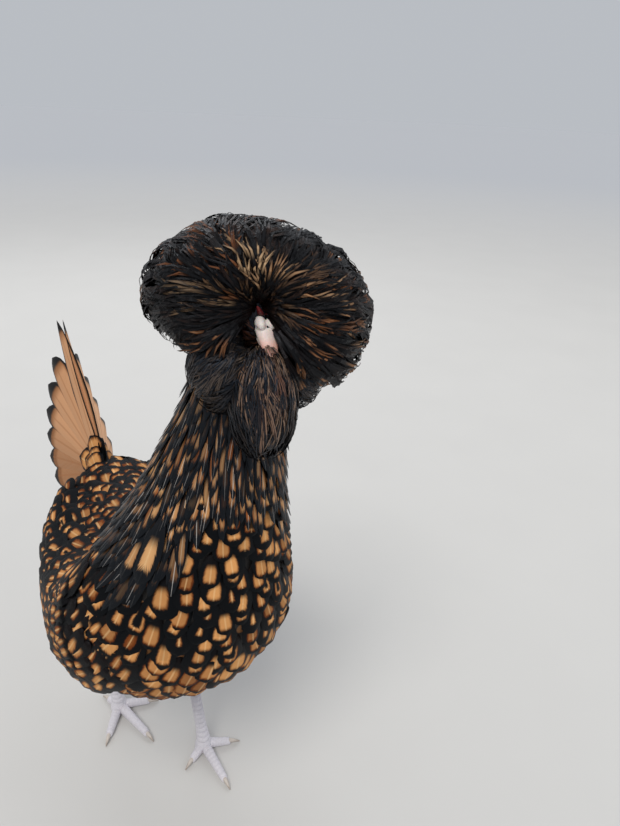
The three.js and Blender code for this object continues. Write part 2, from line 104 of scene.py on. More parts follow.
def ease(low: float, high: float, value: Array) -> Array:
    """Smooth step of a value, from 0 at low to 1 at high."""
    share = np.clip((np.asarray(value, float) - low) / (high - low), 0.0, 1.0)
    return share * share * (3.0 - 2.0 * share)


def turned(yaw: float, pitch: float, roll: float = 0.0) -> Array:
    """Turn about Z, after one about X, after one about Y.

    Args:
        yaw: Degrees about Z.
        pitch: Degrees about X.
        roll: Degrees about Y.

    Returns:
        A 3 by 3 matrix.
    """
    about_z, about_x, about_y = (Matrix.Rotation(math.radians(angle), 3, axis)
                                 for angle, axis in ((yaw, "Z"), (pitch, "X"), (roll, "Y")))
    return np.array(about_z @ about_x @ about_y)


def between(start: Array, ways: Array, share: Array) -> Array:
    """Directions a share of the way, from 0 to 1, from one direction to many, all one a row."""
    angle = np.arccos(np.clip(np.sum(ways * start, axis=-1), -1.0, 1.0))[:, None]
    return unit(np.sin((1.0 - share) * angle) * start + np.sin(share * angle) * ways)


def degrees_off(ways: Array, way: Place) -> Array:
    """Degrees between directions, one a row, and one direction."""
    return np.degrees(np.arccos(np.clip(ways @ unit(np.array(way)), -1, 1)))


def on_map(turn: Array, height: Array) -> Array:
    """Places on a coat's map, for angles round a form and shares of its height."""
    return MAP_EDGE + MAP_SPAN * np.stack([np.mod(turn, FULL) / FULL, height], 1)


def dyes(tone: Array, mark: Array, warm: Array) -> Array:
    """Rows of tone, amount of gold and its warmth, with the last two kept from 0 to 1."""
    return np.stack([tone, np.clip(mark, 0, 1), np.clip(warm, 0, 1)], 1)


def even_ways(count: int) -> Array:
    """Directions spread evenly over a sphere.

    Args:
        count: How many.

    Returns:
        Directions, one a row.
    """
    k = np.arange(count)
    height = 1.0 - (2.0 * k + 1.0) / count
    flat = np.sqrt(1.0 - height * height)
    return np.stack([flat * np.cos(k * GOLDEN), flat * np.sin(k * GOLDEN), height], 1)


def linear(red: int, green: int, blue: int) -> Colour:
    """Light of a screen colour whose parts run from 0 to 255."""
    return tuple((part / 255.0) ** 2.2 for part in (red, green, blue))


@dataclass
class Datum:
    """Where the design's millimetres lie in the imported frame."""

    shift: Array

    def place(self, point: Array) -> Array:
        """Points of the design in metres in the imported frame."""
        return (np.asarray(point, float) + self.shift) * MM


class Graph:
    """The node tree of one material while it is wired."""

    def __init__(self, name: str) -> None:
        """Starts a material with its shader.

        Args:
            name: The material's name.
        """
        self.material = bpy.data.materials.new(name)
        self.material.use_nodes = True
        self.tree = self.material.node_tree
        self.shader = self.tree.nodes["Principled BSDF"]

    def add(self, kind: str, **settings: object) -> bpy.types.Node:
        """Adds a node.

        Args:
            kind: The node's type.
            settings: Properties to set on it.

        Returns:
            The node.
        """
        node = self.tree.nodes.new(kind)
        for key, value in settings.items():
            setattr(node, key, value)
        return node

    def put(self, socket: bpy.types.NodeSocket, value: object) -> None:
        """Feeds a socket.

        Args:
            socket: The input.
            value: Another node's output, or a constant.
        """
        if isinstance(value, bpy.types.NodeSocket):
            self.tree.links.new(value, socket)
        elif isinstance(value, tuple) and len(value) == 3 and socket.type == "RGBA":
            socket.default_value = (*value, 1.0)
        else:
            socket.default_value = value

    def feed(self, name: str, value: object) -> None:
        """Feeds one of the shader's inputs."""
        self.put(self.shader.inputs[name], value)

    def math(self, operation: str, first: object, second: object = 0.0,
             third: object = 0.0) -> bpy.types.NodeSocket:
        """Does arithmetic on sockets.

        Args:
            operation: The Math node's operation.
            first: First operand.
            second: Second operand.
            third: Third operand, where the operation has one.

        Returns:
            The result's socket.
        """
        node = self.add("ShaderNodeMath", operation=operation)
        for socket, value in zip(node.inputs, (first, second, third)):
            self.put(socket, value)
        return node.outputs[0]

    def times(self, first: object, second: object) -> bpy.types.NodeSocket:
        """Product of two numbers."""
        return self.math("MULTIPLY", first, second)

    def fused(self, value: object, factor: object, offset: object) -> bpy.types.NodeSocket:
        """A number times a factor, plus an offset."""
        return self.math("MULTIPLY_ADD", value, factor, offset)

    def less(self, first: object, second: object) -> bpy.types.NodeSocket:
        """First number less the second."""
        return self.math("SUBTRACT", first, second)

    def vector(self, operation: str, first: object, second: object, result: int) -> bpy.types.NodeSocket:
        """Does arithmetic on vectors.

        Args:
            operation: The Vector Math node's operation.
            first: First operand.
            second: Second operand.
            result: The result's place among the node's outputs: 0 a vector, 1 a number.

        Returns:
            The result's socket.
        """
        node = self.add("ShaderNodeVectorMath", operation=operation)
        self.put(node.inputs[0], first)
        self.put(node.inputs[1], second)
        return node.outputs[result]

    def parts(self, vector: bpy.types.NodeSocket) -> list[bpy.types.NodeSocket]:
        """Splits a vector.

        Args:
            vector: The vector's socket.

        Returns:
            Sockets of its three parts.
        """
        node = self.add("ShaderNodeSeparateXYZ")
        self.put(node.inputs[0], vector)
        return list(node.outputs)

    def gathered(self, kind: str, *parts: object) -> bpy.types.NodeSocket:
        """Gathers three numbers.

        Args:
            kind: The node's type, for a vector or a colour.
            parts: The numbers.

        Returns:
            The socket of the whole.
        """
        node = self.add(kind)
        for socket, part in zip(node.inputs, parts):
            self.put(socket, part)
        return node.outputs[0]

    def shaded(self, colour: object, shade: object) -> bpy.types.NodeSocket:
        """A colour times a shade of grey."""
        return self.blend(1.0, colour, self.gathered("ShaderNodeCombineColor", *[shade] * 3), "MULTIPLY")

    def step(self, low: object, high: object, value: object) -> bpy.types.NodeSocket:
        """Smooth step between two values.

        Args:
            low: Value where the step is 0.
            high: Value where it is 1.
            value: The number to step.

        Returns:
            The result's socket.
        """
        node = self.add("ShaderNodeMapRange", interpolation_type="SMOOTHSTEP")
        self.put(node.inputs["Value"], value)
        self.put(node.inputs["From Min"], low)
        self.put(node.inputs["From Max"], high)
        return node.outputs["Result"]

    def blend(self, share: object, first: object, second: object,
              kind: str = "MIX") -> bpy.types.NodeSocket:
        """Mixes two colours.

        Args:
            share: How much of the second.
            first: First colour.
            second: Second colour.
            kind: The mix node's blend type.

        Returns:
            The colour's socket.
        """
        node = self.add("ShaderNodeMix", data_type="RGBA", blend_type=kind)
        self.put(node.inputs[0], share)
        self.put(node.inputs[6], first)
        self.put(node.inputs[7], second)
        return node.outputs[2]

    def noise(self, where: bpy.types.NodeSocket, scale: float, detail: float = 3.0) -> bpy.types.NodeSocket:
        """Noise over a place.

        Args:
            where: The coordinates.
            scale: The noise's scale.
            detail: Its octaves.

        Returns:
            The noise factor's socket.
        """
        node = self.add("ShaderNodeTexNoise")
        self.put(node.inputs["Vector"], where)
        self.put(node.inputs["Scale"], scale)
        self.put(node.inputs["Detail"], detail)
        return node.outputs["Fac"]

    def object_place(self) -> bpy.types.NodeSocket:
        """The point's own place on the object."""
        return self.add("ShaderNodeTexCoord").outputs["Object"]

    def bump(self, height: object, strength: float, distance: float) -> None:
        """Raises the surface by a height.

        Args:
            height: The height's socket.
            strength: How strong the bump is.
            distance: Its depth in metres.
        """
        node = self.add("ShaderNodeBump")
        self.put(node.inputs["Strength"], strength)
        self.put(node.inputs["Distance"], distance)
        self.put(node.inputs["Height"], height)
        self.put(self.shader.inputs["Normal"], node.outputs["Normal"])


@dataclass(frozen=True)
class FeatherFinish:
    """Colours and sheen of one kind of feather.

    Places run from 0 at the shaft to 1 at a vane's sides, and from 0 at its root to 1 at its tip. A pair
    is where a soft step is 0 and where it is 1, except where it is named here.

    Attributes:
        border: On a laced feather, distance from the edge to the gold for the least and the most gold.
        tip_scale: How many times further off than the sides the tip counts.
        fade: Middle of a streak's end, and half its length.
        cored: Tones with a dark core inside the gold.
        rim: Width of the deeper gold along its edge.
        shaft: Strength of the painted highlight along the shafts, a pale glint, at the highest tones.
        tones: Least brightness, what the tone adds and what the barbs add.
    """

    name: str
    light: Colour
    deep: Colour
    dark: Colour
    down: Colour
    marking: Marking = Marking.LACED
    border: tuple[float, float] = (0.0, 0.3)
    tip_scale: float = 2.2
    corner: float = 0.15
    soft: float = 0.05
    wobble: float = 0.5
    wedge: float = 0.0
    root: float = 0.3
    rooted: float = 0.22
    fade: tuple[float, float] = (2.0, 0.12)
    cored: tuple[float, float] = (2.0, 2.06)
    core: tuple[float, float] = (0.10, 0.26)
    rim: float = 0.2
    barbs: float = 70.0
    slope: float = 0.3
    depth: float = 0.25
    relief: float = 0.0006
    line: Colour = linear(120, 70, 34)
    line_step: tuple[float, float] = (0.10, 0.03)
    line_share: float = 0.45
    # Painted highlight: strength and colour of a pale silver glint along the shafts.
    shaft: float = 0.0
    pale: Colour = linear(196, 190, 184)
    tones: tuple[float, float, float] = (0.56, 0.36, 0.5)
    roughness: float = 0.5
    gloss: Colour = (1.0, 1.0, 1.0)
    level: float = 0.3
    sheen: float = 0.0

    def gold(self, graph: Graph, places: list[bpy.types.NodeSocket],
             dye: list[bpy.types.NodeSocket]) -> tuple[bpy.types.NodeSocket, bpy.types.NodeSocket]:
        """Wires where the gold lies.

        Args:
            graph: The material's nodes.
            places: Place across and along the vane, and the barbs' noise.
            dye: The feather's tone, amount of gold and warmth.

        Returns:
            How much gold there is, and how near its edge.
        """
        off, along, strand = places
        tone, mark, _ = dye
        side = graph.fused(along, self.wedge, graph.less(1.0 - self.wedge, off))
        tip = graph.times(graph.less(1.0, along), self.tip_scale)
        edge = graph.math("SMOOTH_MIN", side, tip, self.corner)
        edge = graph.math("ADD", edge, graph.fused(strand, self.wobble, -0.5 * self.wobble))
        if self.marking is Marking.STREAKED:
            middle, half = self.fade
            fading = graph.step(middle + half, middle - half, along)
            return graph.times(graph.times(graph.step(*self.border, edge), mark), fading), off
        low, high = self.border
        inner = graph.fused(mark, high - low, low)
        gold = graph.step(graph.less(inner, self.soft), graph.math("ADD", inner, self.soft), edge)
        core = graph.step(*(graph.math("ADD", inner, part) for part in self.core), edge)
        core = graph.times(core, graph.step(*self.cored, tone))
        outer = graph.step(graph.math("ADD", inner, self.rim), inner, edge)
        return graph.times(gold, graph.less(1.0, core)), outer

    def material(self) -> bpy.types.Material:
        """Wires the finish.

        Returns:
            The material, which reads the vane's own map and the dye attribute.
        """
        graph = Graph(self.name)
        across, along, _ = graph.parts(graph.add("ShaderNodeUVMap", uv_map="Vane").outputs["UV"])
        dye = graph.parts(graph.add("ShaderNodeAttribute", attribute_name="dye").outputs["Vector"])
        tone, _, warm = dye
        off = graph.math("ABSOLUTE", graph.fused(across, 2.0, -1.0))
        row = graph.fused(off, -self.slope * self.barbs, graph.times(along, self.barbs))
        where = graph.gathered("ShaderNodeCombineXYZ", row, graph.times(tone, 91.0), graph.times(off, 1.5))
        strand = graph.noise(where, 1.0)
        gold, outer = self.gold(graph, [off, along, strand], dye)
        gold = graph.times(gold, graph.step(self.root, self.root + self.rooted, along))
        varied = graph.fused(outer, 0.6, graph.fused(strand, 0.6, graph.less(warm, 0.4)))
        varied = graph.math("MINIMUM", graph.math("MAXIMUM", varied, 0.0), 1.0)
        quill = graph.step(*self.line_step, off)
        tint = graph.blend(varied, self.light, self.deep)
        tint = graph.blend(graph.times(quill, self.line_share), tint, self.line)
        ground = graph.blend(graph.step(0.05, self.root + 0.12, along), self.down, self.dark)
        # Painted highlight: a pale glint along the shaft, on the highest tones only.
        bright = graph.times(graph.math("POWER", tone, 3.0), self.shaft)
        colour = graph.blend(graph.times(quill, bright), graph.blend(gold, ground, tint), self.pale)
        least, by_tone, by_barb = self.tones
        shade = graph.fused(strand, by_barb, graph.fused(tone, by_tone, least))
        graph.feed("Base Color", graph.shaded(colour, shade))
        graph.feed("Roughness", graph.fused(gold, 0.16, graph.fused(strand, 0.22, self.roughness - 0.1)))
        graph.feed("Specular IOR Level", self.level)
        graph.feed("Specular Tint", self.gloss)
        graph.feed("Sheen Weight", self.sheen)
        graph.feed("Sheen Roughness", 0.4)
        graph.bump(strand, self.depth, self.relief)
        return graph.material


@dataclass(frozen=True)
class SkinFinish:
    """Bare skin with the plumage's own markings under the coat, and red round the bill."""

    face: Place
    name: str = "plumage_skin"
    dark: Colour = linear(24, 19, 17)
    gold: Colour = linear(150, 98, 50)
    red: Colour = linear(78, 18, 20)
    cells: float = 78.0
    spot: tuple[float, float] = (0.36, 0.26)
    spot_share: float = 0.8
    face_step: tuple[float, float] = (0.02, 0.011)
    pores: float = 240.0

    def material(self) -> bpy.types.Material:
        """Wires the finish.

        Returns:
            The material.
        """
        graph = Graph(self.name)
        place = graph.object_place()
        cells = graph.add("ShaderNodeTexVoronoi", feature="F1")
        graph.put(cells.inputs["Vector"], place)
        graph.put(cells.inputs["Scale"], self.cells)
        spots = graph.times(graph.step(*self.spot, cells.outputs["Distance"]), self.spot_share)
        near = graph.step(*self.face_step, graph.vector("DISTANCE", place, self.face, 1))
        graph.feed("Base Color", graph.blend(near, graph.blend(spots, self.dark, self.gold), self.red))
        rough = graph.noise(place, self.pores)
        graph.feed("Roughness", graph.fused(rough, 0.3, 0.5))
        graph.bump(rough, 0.5, 0.0008)
        return graph.material


@dataclass(frozen=True)
class HornFinish:
    """Horn, scaly or fleshy skin: one colour that turns into another along a direction."""

    name: str
    first: Colour
    second: Colour
    start: Place
    end: Place
    roughness: float = 0.4
    mottle: float = 160.0
    depth: float = 0.3
    soften: float = 0.15
    subsurface: float = 0.0

    def material(self) -> bpy.types.Material:
        """Wires the finish.

        Returns:
            The material, which reads the object's own coordinates.
        """
        graph = Graph(self.name)
        place = graph.object_place()
        run = Vector(self.end) - Vector(self.start)
        moved = graph.vector("SUBTRACT", place, self.start, 0)
        along = graph.vector("DOT_PRODUCT", moved, run / run.length_squared, 1)
        cloud = graph.noise(place, self.mottle, 5.0)
        share = graph.fused(cloud, 0.5, graph.less(along, 0.25))
        share = graph.step(self.soften, 1.0 - self.soften, share)
        fine = graph.noise(place, self.mottle * 5.0, 2.0)
        colour = graph.blend(share, self.first, self.second)
        graph.feed("Base Color", graph.shaded(colour, graph.fused(fine, 0.35, 0.82)))
        graph.feed("Roughness", graph.fused(cloud, 0.25, self.roughness - 0.1))
        graph.feed("Subsurface Weight", self.subsurface)
        graph.feed("Subsurface Scale", 0.002)
        graph.bump(graph.math("ADD", cloud, fine), self.depth, 0.0004)
        return graph.material


@dataclass(frozen=True)
class EyeFinish:
    """A reddish brown iris with a round black pupil, under a clear coat."""

    name: str
    centre: Place
    gaze: Place
    radius: float
    iris: Colour = linear(176, 72, 26)
    rim: Colour = linear(70, 22, 10)
    pupil: Colour = (0.002, 0.002, 0.002)
    iris_step: tuple[float, float] = (0.45, 0.95)
    pupil_step: tuple[float, float] = (0.46, 0.40)

    def material(self) -> bpy.types.Material:
        """Wires the finish.

        Returns:
            The material.
        """
        graph = Graph(self.name)
        place = graph.object_place()
        front = Vector(self.centre) + Vector(self.gaze) * self.radius
        off = graph.math("DIVIDE", graph.vector("DISTANCE", place, front, 1), self.radius)
        rays = graph.noise(place, 1400.0, 4.0)
        colour = graph.blend(graph.step(*self.iris_step, off), self.iris, self.rim)
        colour = graph.blend(graph.times(rays, 0.4), colour, self.rim)
        graph.feed("Base Color", graph.blend(graph.step(*self.pupil_step, off), colour, self.pupil))
        graph.feed("Roughness", graph.fused(rays, 0.08, 0.06))
        graph.feed("Coat Weight", 1.0)
        graph.feed("Coat Roughness", 0.03)
        return graph.material


@dataclass(frozen=True)
class FloorFinish:
    """A matt pale floor that turns into the backdrop's colour far out."""

    name: str = "pale_floor"
    colour: Colour = (0.62, 0.61, 0.59)
    far: Colour = (0.538, 0.5545, 0.586)
    paler: float = 1.06
    far_step: tuple[float, float] = (1.2, 7.0)

    def material(self) -> bpy.types.Material:
        """Wires the finish.

        Returns:
            The material.
        """
        graph = Graph(self.name)
        place = graph.object_place()
        paler = tuple(part * self.paler for part in self.colour)
        colour = graph.blend(graph.noise(place, 6.0, 4.0), self.colour, paler)
        share = graph.step(*self.far_step, graph.vector("DISTANCE", place, (0.0, 0.0, 0.0), 1))
        graph.feed("Base Color", graph.blend(share, colour, self.far))
        graph.feed("Roughness", 0.85)
        return graph.material


@dataclass
class Batch:
    """Shafts of many feathers of one shape, in mm."""

    shape: "VaneShape"
    paths: Array
    faces: Array
    widths: Array
    dye: Array
    patches: Array


@dataclass(frozen=True)
class VaneShape:
    """Outline, section and ragged edge of one kind of feather."""

    steps: tuple[float, ...]
    outline: tuple[float, ...]
    ribs: int = 5
    camber: float = 0.22
    thickness: float = 0.5
    fray: float = 0.06

    @property
    def shaft(self) -> Array:
        """Places along the shaft where its path is known, the tip last."""
        return np.array([*self.steps, 1.0])

    def faces(self) -> Array:
        """Triangles of one closed vane.

        Returns:
            Vertex numbers, three a row.
        """
        loop = self.ribs + 1
        rings = len(self.steps)
        found = []
        for r in range(rings - 1):
            for j in range(loop):
                a, b = r * loop + j, r * loop + (j + 1) % loop
                found += [(a, b, b + loop), (a, b + loop, a + loop)]
        found += [(0, j + 1, j) for j in range(1, loop - 1)]
        last, tip = (rings - 1) * loop, rings * loop
        found += [(last + j, last + (j + 1) % loop, tip) for j in range(loop)]
        return np.array(found)

    def mesh(self, batch: Batch, draw: np.random.Generator) -> tuple[Array, Array, Array, Array]:
        """Vanes along shafts.

        Args:
            batch: The shafts.
            draw: Random numbers.

        Returns:
            Points of each vane, their places on the vane, its triangles, and which points are its rim.
        """
        paths, rings = batch.paths, len(self.steps)
        count = len(paths)
        along = unit(np.gradient(paths, axis=1))
        side = unit(np.cross(along, batch.faces))
        out = np.cross(side, along)
        ribs = np.linspace(-1.0, 1.0, self.ribs)
        half = batch.widths[:, None] / 2.0 * np.array(self.outline)
        ragged = 1.0 + self.fray * draw.standard_normal((count, rings, self.ribs))
        x = ribs * half[:, :, None] * ragged
        rise = self.thickness / 2.0 * (1.0 - ribs ** 2)
        fall = self.camber * half[:, :, None] * np.abs(ribs) ** 1.6
        top = (paths[:, :rings, None] + side[:, :rings, None] * x[..., None]
               + out[:, :rings, None] * (rise - fall)[..., None])
        low = paths[:, :rings] - out[:, :rings] * (self.thickness / 2.0)
        rings_points = np.concatenate([top, low[:, :, None]], 2).reshape(count, -1, 3)
        points = np.concatenate([rings_points, paths[:, -1:]], 1)
        u = np.tile([*((ribs + 1.0) / 2.0), 0.5], rings)
        v = np.repeat(self.steps, self.ribs + 1)
        places = np.stack([[*u, 0.5], [*v, 1.0]], 1)
        rim = np.array([*np.tile([1, *[0] * (self.ribs - 2), 1, 0], rings), 1], bool)
        faces = self.faces()
        corner = points[0][faces]
        if np.einsum("ij,ij->i", corner[:, 0], np.cross(corner[:, 1], corner[:, 2])).sum() < 0:
            faces = faces[:, ::-1]
        return points, places, faces, rim


BODY_VANE = VaneShape((0.0, 0.16, 0.36, 0.56, 0.74, 0.87, 0.95), (0.12, 0.5, 0.82, 1.0, 0.96, 0.76, 0.46))
HACKLE_VANE = VaneShape((0.0, 0.2, 0.42, 0.64, 0.82, 0.93), (0.2, 0.7, 0.95, 1.0, 0.74, 0.42), ribs=3)
CREST_VANE = VaneShape((0.0, 0.2, 0.4, 0.6, 0.78, 0.9), (0.22, 0.6, 0.85, 1.0, 0.86, 0.56), ribs=3,
                       camber=0.3, fray=0.1)
STRAND_VANE = VaneShape((0.0, 0.25, 0.5, 0.75, 0.92), (0.5, 0.9, 1.0, 0.8, 0.45), ribs=2, camber=0.0,
                        fray=0.08)
TAIL_VANE = VaneShape((0.0, 0.1, 0.22, 0.36, 0.5, 0.64, 0.76, 0.86, 0.93, 0.975),
                      (0.14, 0.5, 0.8, 0.97, 1.0, 0.88, 0.71, 0.5, 0.31, 0.14), ribs=7, camber=0.16,
                      thickness=0.8, fray=0.02)
QUILL_VANE = VaneShape((0.0, 0.1, 0.22, 0.36, 0.5, 0.64, 0.77, 0.87, 0.94, 0.98),
                       (0.14, 0.5, 0.78, 0.93, 1.0, 1.0, 0.97, 0.86, 0.64, 0.36), ribs=7, camber=0.16,
                       thickness=0.8, fray=0.02)


@dataclass
class Coat:
    """Feathers of one kind gathered into one joined mesh."""

    name: str
    slot: str
    parts: list[Batch]
    replaces: tuple[str, ...] = ()

    def make(self, datum: Datum, material: bpy.types.Material, seed: int) -> None:
        """Joins the feathers into one mesh.

        Args:
            datum: Where the design lies in the frame.
            material: The feathers' finish.
            seed: Start of the random draw for the ragged edges.
        """
        draw = np.random.default_rng(seed)
        rows, begun = [], 0
        for batch in self.parts:
            points, places, faces, rim = batch.shape.mesh(batch, draw)
            count, each = points.shape[:2]
            starts = begun + np.arange(count)[:, None, None] * each
            begun += count * each
            spots = batch.patches[:, None] + (places[None] - 0.5) * PATCH
            rows.append((points.reshape(-1, 3), (faces[None] + starts).reshape(-1, 3),
                         np.tile(places, (count, 1)), spots.reshape(-1, 2),
                         np.repeat(batch.dye, each, 0), np.tile(rim, count)))
        points, faces, places, spots, dye, rim = (np.concatenate(column) for column in zip(*rows))
        mesh = bpy.data.meshes.new(self.name)
        mesh.vertices.add(len(points))
        mesh.vertices.foreach_set("co", datum.place(points).astype(np.float32).ravel())
        mesh.loops.add(faces.size)
        mesh.loops.foreach_set("vertex_index", faces.astype(np.int32).ravel())
        mesh.polygons.add(len(faces))
        mesh.polygons.foreach_set("loop_start", np.arange(0, faces.size, 3, dtype=np.int32))
        mesh.polygons.foreach_set("use_smooth", np.ones(len(faces), bool))
        mesh.update(calc_edges=True)
        for title, values in (("OFBake", spots), ("Vane", places)):
            layer = mesh.uv_layers.new(name=title)
            layer.uv.foreach_set("vector", values[faces.ravel()].astype(np.float32).ravel())
        mesh.attributes.new("dye", "FLOAT_VECTOR", "POINT").data.foreach_set(
            "vector", dye.astype(np.float32).ravel())
        ends = np.zeros(len(mesh.edges) * 2, np.int32)
        mesh.edges.foreach_get("vertices", ends)
        sharp = rim[ends].reshape(-1, 2).all(1)
        mesh.attributes.new("sharp_edge", "BOOLEAN", "EDGE").data.foreach_set("value", sharp)
        mesh.materials.append(material)
        made = bpy.data.objects.new(self.name, mesh)
        bpy.context.scene.collection.objects.link(made)
        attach(made, "root")
        if self.replaces:
            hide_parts(*self.replaces)
        count = sum(len(batch.widths) for batch in self.parts)
        LOG.info("%s: %d feathers, %d triangles", self.name, count, len(faces))


@dataclass
class Trunk:
    """The body from the rump to the nape, as ellipses at stations.

    Each row holds the back's y and z, the belly's y and z, the half width, the middle's x, and its yaw.
    """

    rows: Array = field(default_factory=lambda: np.array([
        [146, 216, 146, 216, 0, 0, 0],
        [140, 232, 140, 200, 20, 0, 0],
        [122, 237, 124, 172, 46, 0, 0],
        [90, 237, 98, 143, 68, 0, 0],
        [52, 240, 60, 127, 81, 0, 0],
        [16, 249, 12, 123, 86, 0, 0],
        [-4, 261, -36, 129, 87, 0, 0],
        [-12, 276, -75, 149, 82, 0, 0],
        [-18, 292, -101, 181, 73, 2, 0],
        [-24, 311, -111, 223, 60, 7, 0],
        [-31, 333, -108, 270, 47, 13, -2],
        [-36, 356, -101, 317, 38, 20, -5],
        [-38, 379, -93, 358, 31, 29, -10],
        [-39, 402, -90, 394, 27, 36, -15],
        [-47, 421, -88, 413, 20, 38, -15],
    ], float))

    def section(self, station: Array) -> Array:
        """The ellipse's numbers at stations.

        Args:
            station: Stations along the trunk.

        Returns:
            Seven numbers a station.
        """
        last = len(self.rows) - 1
        at = np.clip(np.asarray(station, float), 0.0, last)
        i = np.minimum(at.astype(int), last - 1)
        w = (at - i)[..., None]
        first, second = self.rows[i], self.rows[i + 1]
        before = np.where((i > 0)[..., None], self.rows[np.maximum(i - 1, 0)], 2 * first - second)
        after = np.where((i + 2 <= last)[..., None], self.rows[np.minimum(i + 2, last)],
                         2 * second - first)
        v0, v1 = (second - before) / 2, (after - first) / 2
        cubic = (2 * first - 2 * second + v0 + v1) * w ** 3
        square = (3 * second - 3 * first - 2 * v0 - v1) * w ** 2
        return cubic + square + v0 * w + first

    def bare(self, station: Array, around: Array) -> Array:
        """Points on the trunk's surface.

        Args:
            station: Stations along the trunk.
            around: Angles from the back over the left side, in radians.

        Returns:
            Points.
        """
        row = self.section(station)
        across = row[..., 4] * np.sin(around)
        deep = (row[..., 0] - row[..., 2]) / 2 * np.cos(around)
        high = (row[..., 1] - row[..., 3]) / 2 * np.cos(around)
        yaw = np.radians(row[..., 6])
        return np.stack([
            row[..., 5] + across * np.cos(yaw) - deep * np.sin(yaw),
            (row[..., 0] + row[..., 2]) / 2 + across * np.sin(yaw) + deep * np.cos(yaw),
            (row[..., 1] + row[..., 3]) / 2 + high,
        ], -1)

    def normal(self, station: Array, around: Array) -> Array:
        """Directions out of the trunk's surface at stations and angles."""
        return unit(np.cross(*self.steps(station, around, 1e-3)))

    def steps(self, station: Array, around: Array, tiny: float) -> tuple[Array, Array]:
        """Small steps along the trunk's surface and round it, at stations and angles."""
        on = self.bare(station + tiny, around) - self.bare(station - tiny, around)
        return on, self.bare(station, around + tiny) - self.bare(station, around - tiny)

    def point(self, station: Array, around: Array, lift: Array) -> Array:
        """Points at a height over the surface, at stations and angles."""
        height = np.broadcast_to(np.asarray(lift, float), np.shape(station))[..., None]
        return self.bare(station, around) + self.normal(station, around) * height

    def laid(self, shape: VaneShape, station: Array, around: Array, length: Array, width: Array,
             sway: Array, lift: Array, dye: Array) -> Batch:
        """Lays feathers along the trunk with their tips to the rear.

        Args:
            shape: The feathers' shape.
            station: Stations of the roots.
            around: Angles of the roots.
            length: The feathers' lengths.
            width: Their widths.
            sway: How far each turns round the trunk by its tip, in radians.
            lift: Heights over the surface along the shaft, one row a feather.
            dye: Their dyes.

        Returns:
            The feathers.
        """
        at, before = np.array(station, float), 0.0
        points, faces = [], []
        for k, share in enumerate(shape.shaft):
            spun = around + sway * share
            gap = np.linalg.norm(self.bare(at, spun) - self.bare(at - NEAR, spun), axis=-1) / NEAR
            at = np.maximum(REAR, at - length * (share - before) / np.maximum(gap, 4.0))
            before = share
            points.append(self.point(at, spun, lift[:, k]))
            faces.append(self.normal(at, spun))
        patches = on_map(around, station / (len(self.rows) - 1))
        return Batch(shape, np.stack(points, 1), np.stack(faces, 1), width, dye, patches)

    def scatter(self, low: float, high: float, apart: float, draw: np.random.Generator,
                squash: float = 1.0, tries: int = 14000) -> tuple[Array, Array]:
        """Roots spread over the trunk at an even distance.

        Args:
            low: First station.
            high: Last station.
            apart: Least distance between two roots side by side.
            draw: Random numbers.
            squash: How many times closer two roots may be along the trunk.
            tries: How many places are tried.

        Returns:
            Stations and angles.
        """
        station = draw.uniform(low, high, tries * 3)
        around = draw.uniform(0.0, FULL, tries * 3)
        tiny = 1e-2
        on, over = (np.linalg.norm(step, axis=1) for step in self.steps(station, around, tiny))
        area = on * over
        kept = draw.uniform(0.0, area.max(), len(area)) < area
        station, around = station[kept][:tries], around[kept][:tries]
        points = self.bare(station, around)
        along = unit(self.bare(station + tiny, around) - points)
        chosen = thinned(points, apart, along * math.sqrt(squash * squash - 1.0))
        return station[chosen], around[chosen]


def thinned(points: Array, apart: float, longer: Array) -> Array:
    """Picks points in turn that keep a distance from those already picked.

    Args:
        points: Candidates, one a row.
        apart: The least distance.
        longer: Directions in which distances count for more, one a row.

    Returns:
        Numbers of the picked points.
    """
    cells: dict[tuple[int, int, int], list[int]] = {}
    chosen = []
    keys = np.floor(points / apart).astype(int)
    limit = apart * apart
    steps = [(i, j, k) for i in (-1, 0, 1) for j in (-1, 0, 1) for k in (-1, 0, 1)]
    rows = points.tolist()
    ways = longer.tolist()
    for n, (a, b, c) in enumerate(keys.tolist()):
        x, y, z = rows[n]
        u, v, w = ways[n]
        free = True
        for da, db, dc in steps:
            for other in cells.get((a + da, b + db, c + dc), ()):
                p = rows[other]
                i, j, k = p[0] - x, p[1] - y, p[2] - z
                if i * i + j * j + k * k + (i * u + j * v + k * w) ** 2 < limit:
                    free = False
                    break
            if not free:
                break
        if free:
            chosen.append(n)
            cells.setdefault((a, b, c), []).append(n)
    return np.array(chosen)


@dataclass
class Head:
    """The head's own frame: x to her left, -y forward, z up."""

    at: Array = field(default_factory=lambda: np.array([38.0, -72.0, 427.0]))
    yaw: float = -14.0
    pitch: float = 17.0
    skull: Place = (16.5, 20.0, 17.5)
    crown: Place = (15.0, 15.0, 13.0)
    crown_at: Place = (0.0, 3.0, 9.0)
    eye: Place = (13.2, -9.5, 0.5)
    eye_radius: float = 4.3

    @property
    def turn(self) -> Array:
        """The head's turn as a matrix."""
        return turned(self.yaw, self.pitch)

    def place(self, x: float, y: float, z: float) -> Array:
        """A point of the head's frame in the design's frame."""
        return self.at + self.turn @ np.array([x, y, z])


@dataclass(frozen=True)
class Ring:
    """One ellipse of a tube: its middle, half width and half depth, and its turns in radians."""

    middle: Place
    across: float
    deep: float
    tilt: float = 0.0
    yaw: float = 0.0


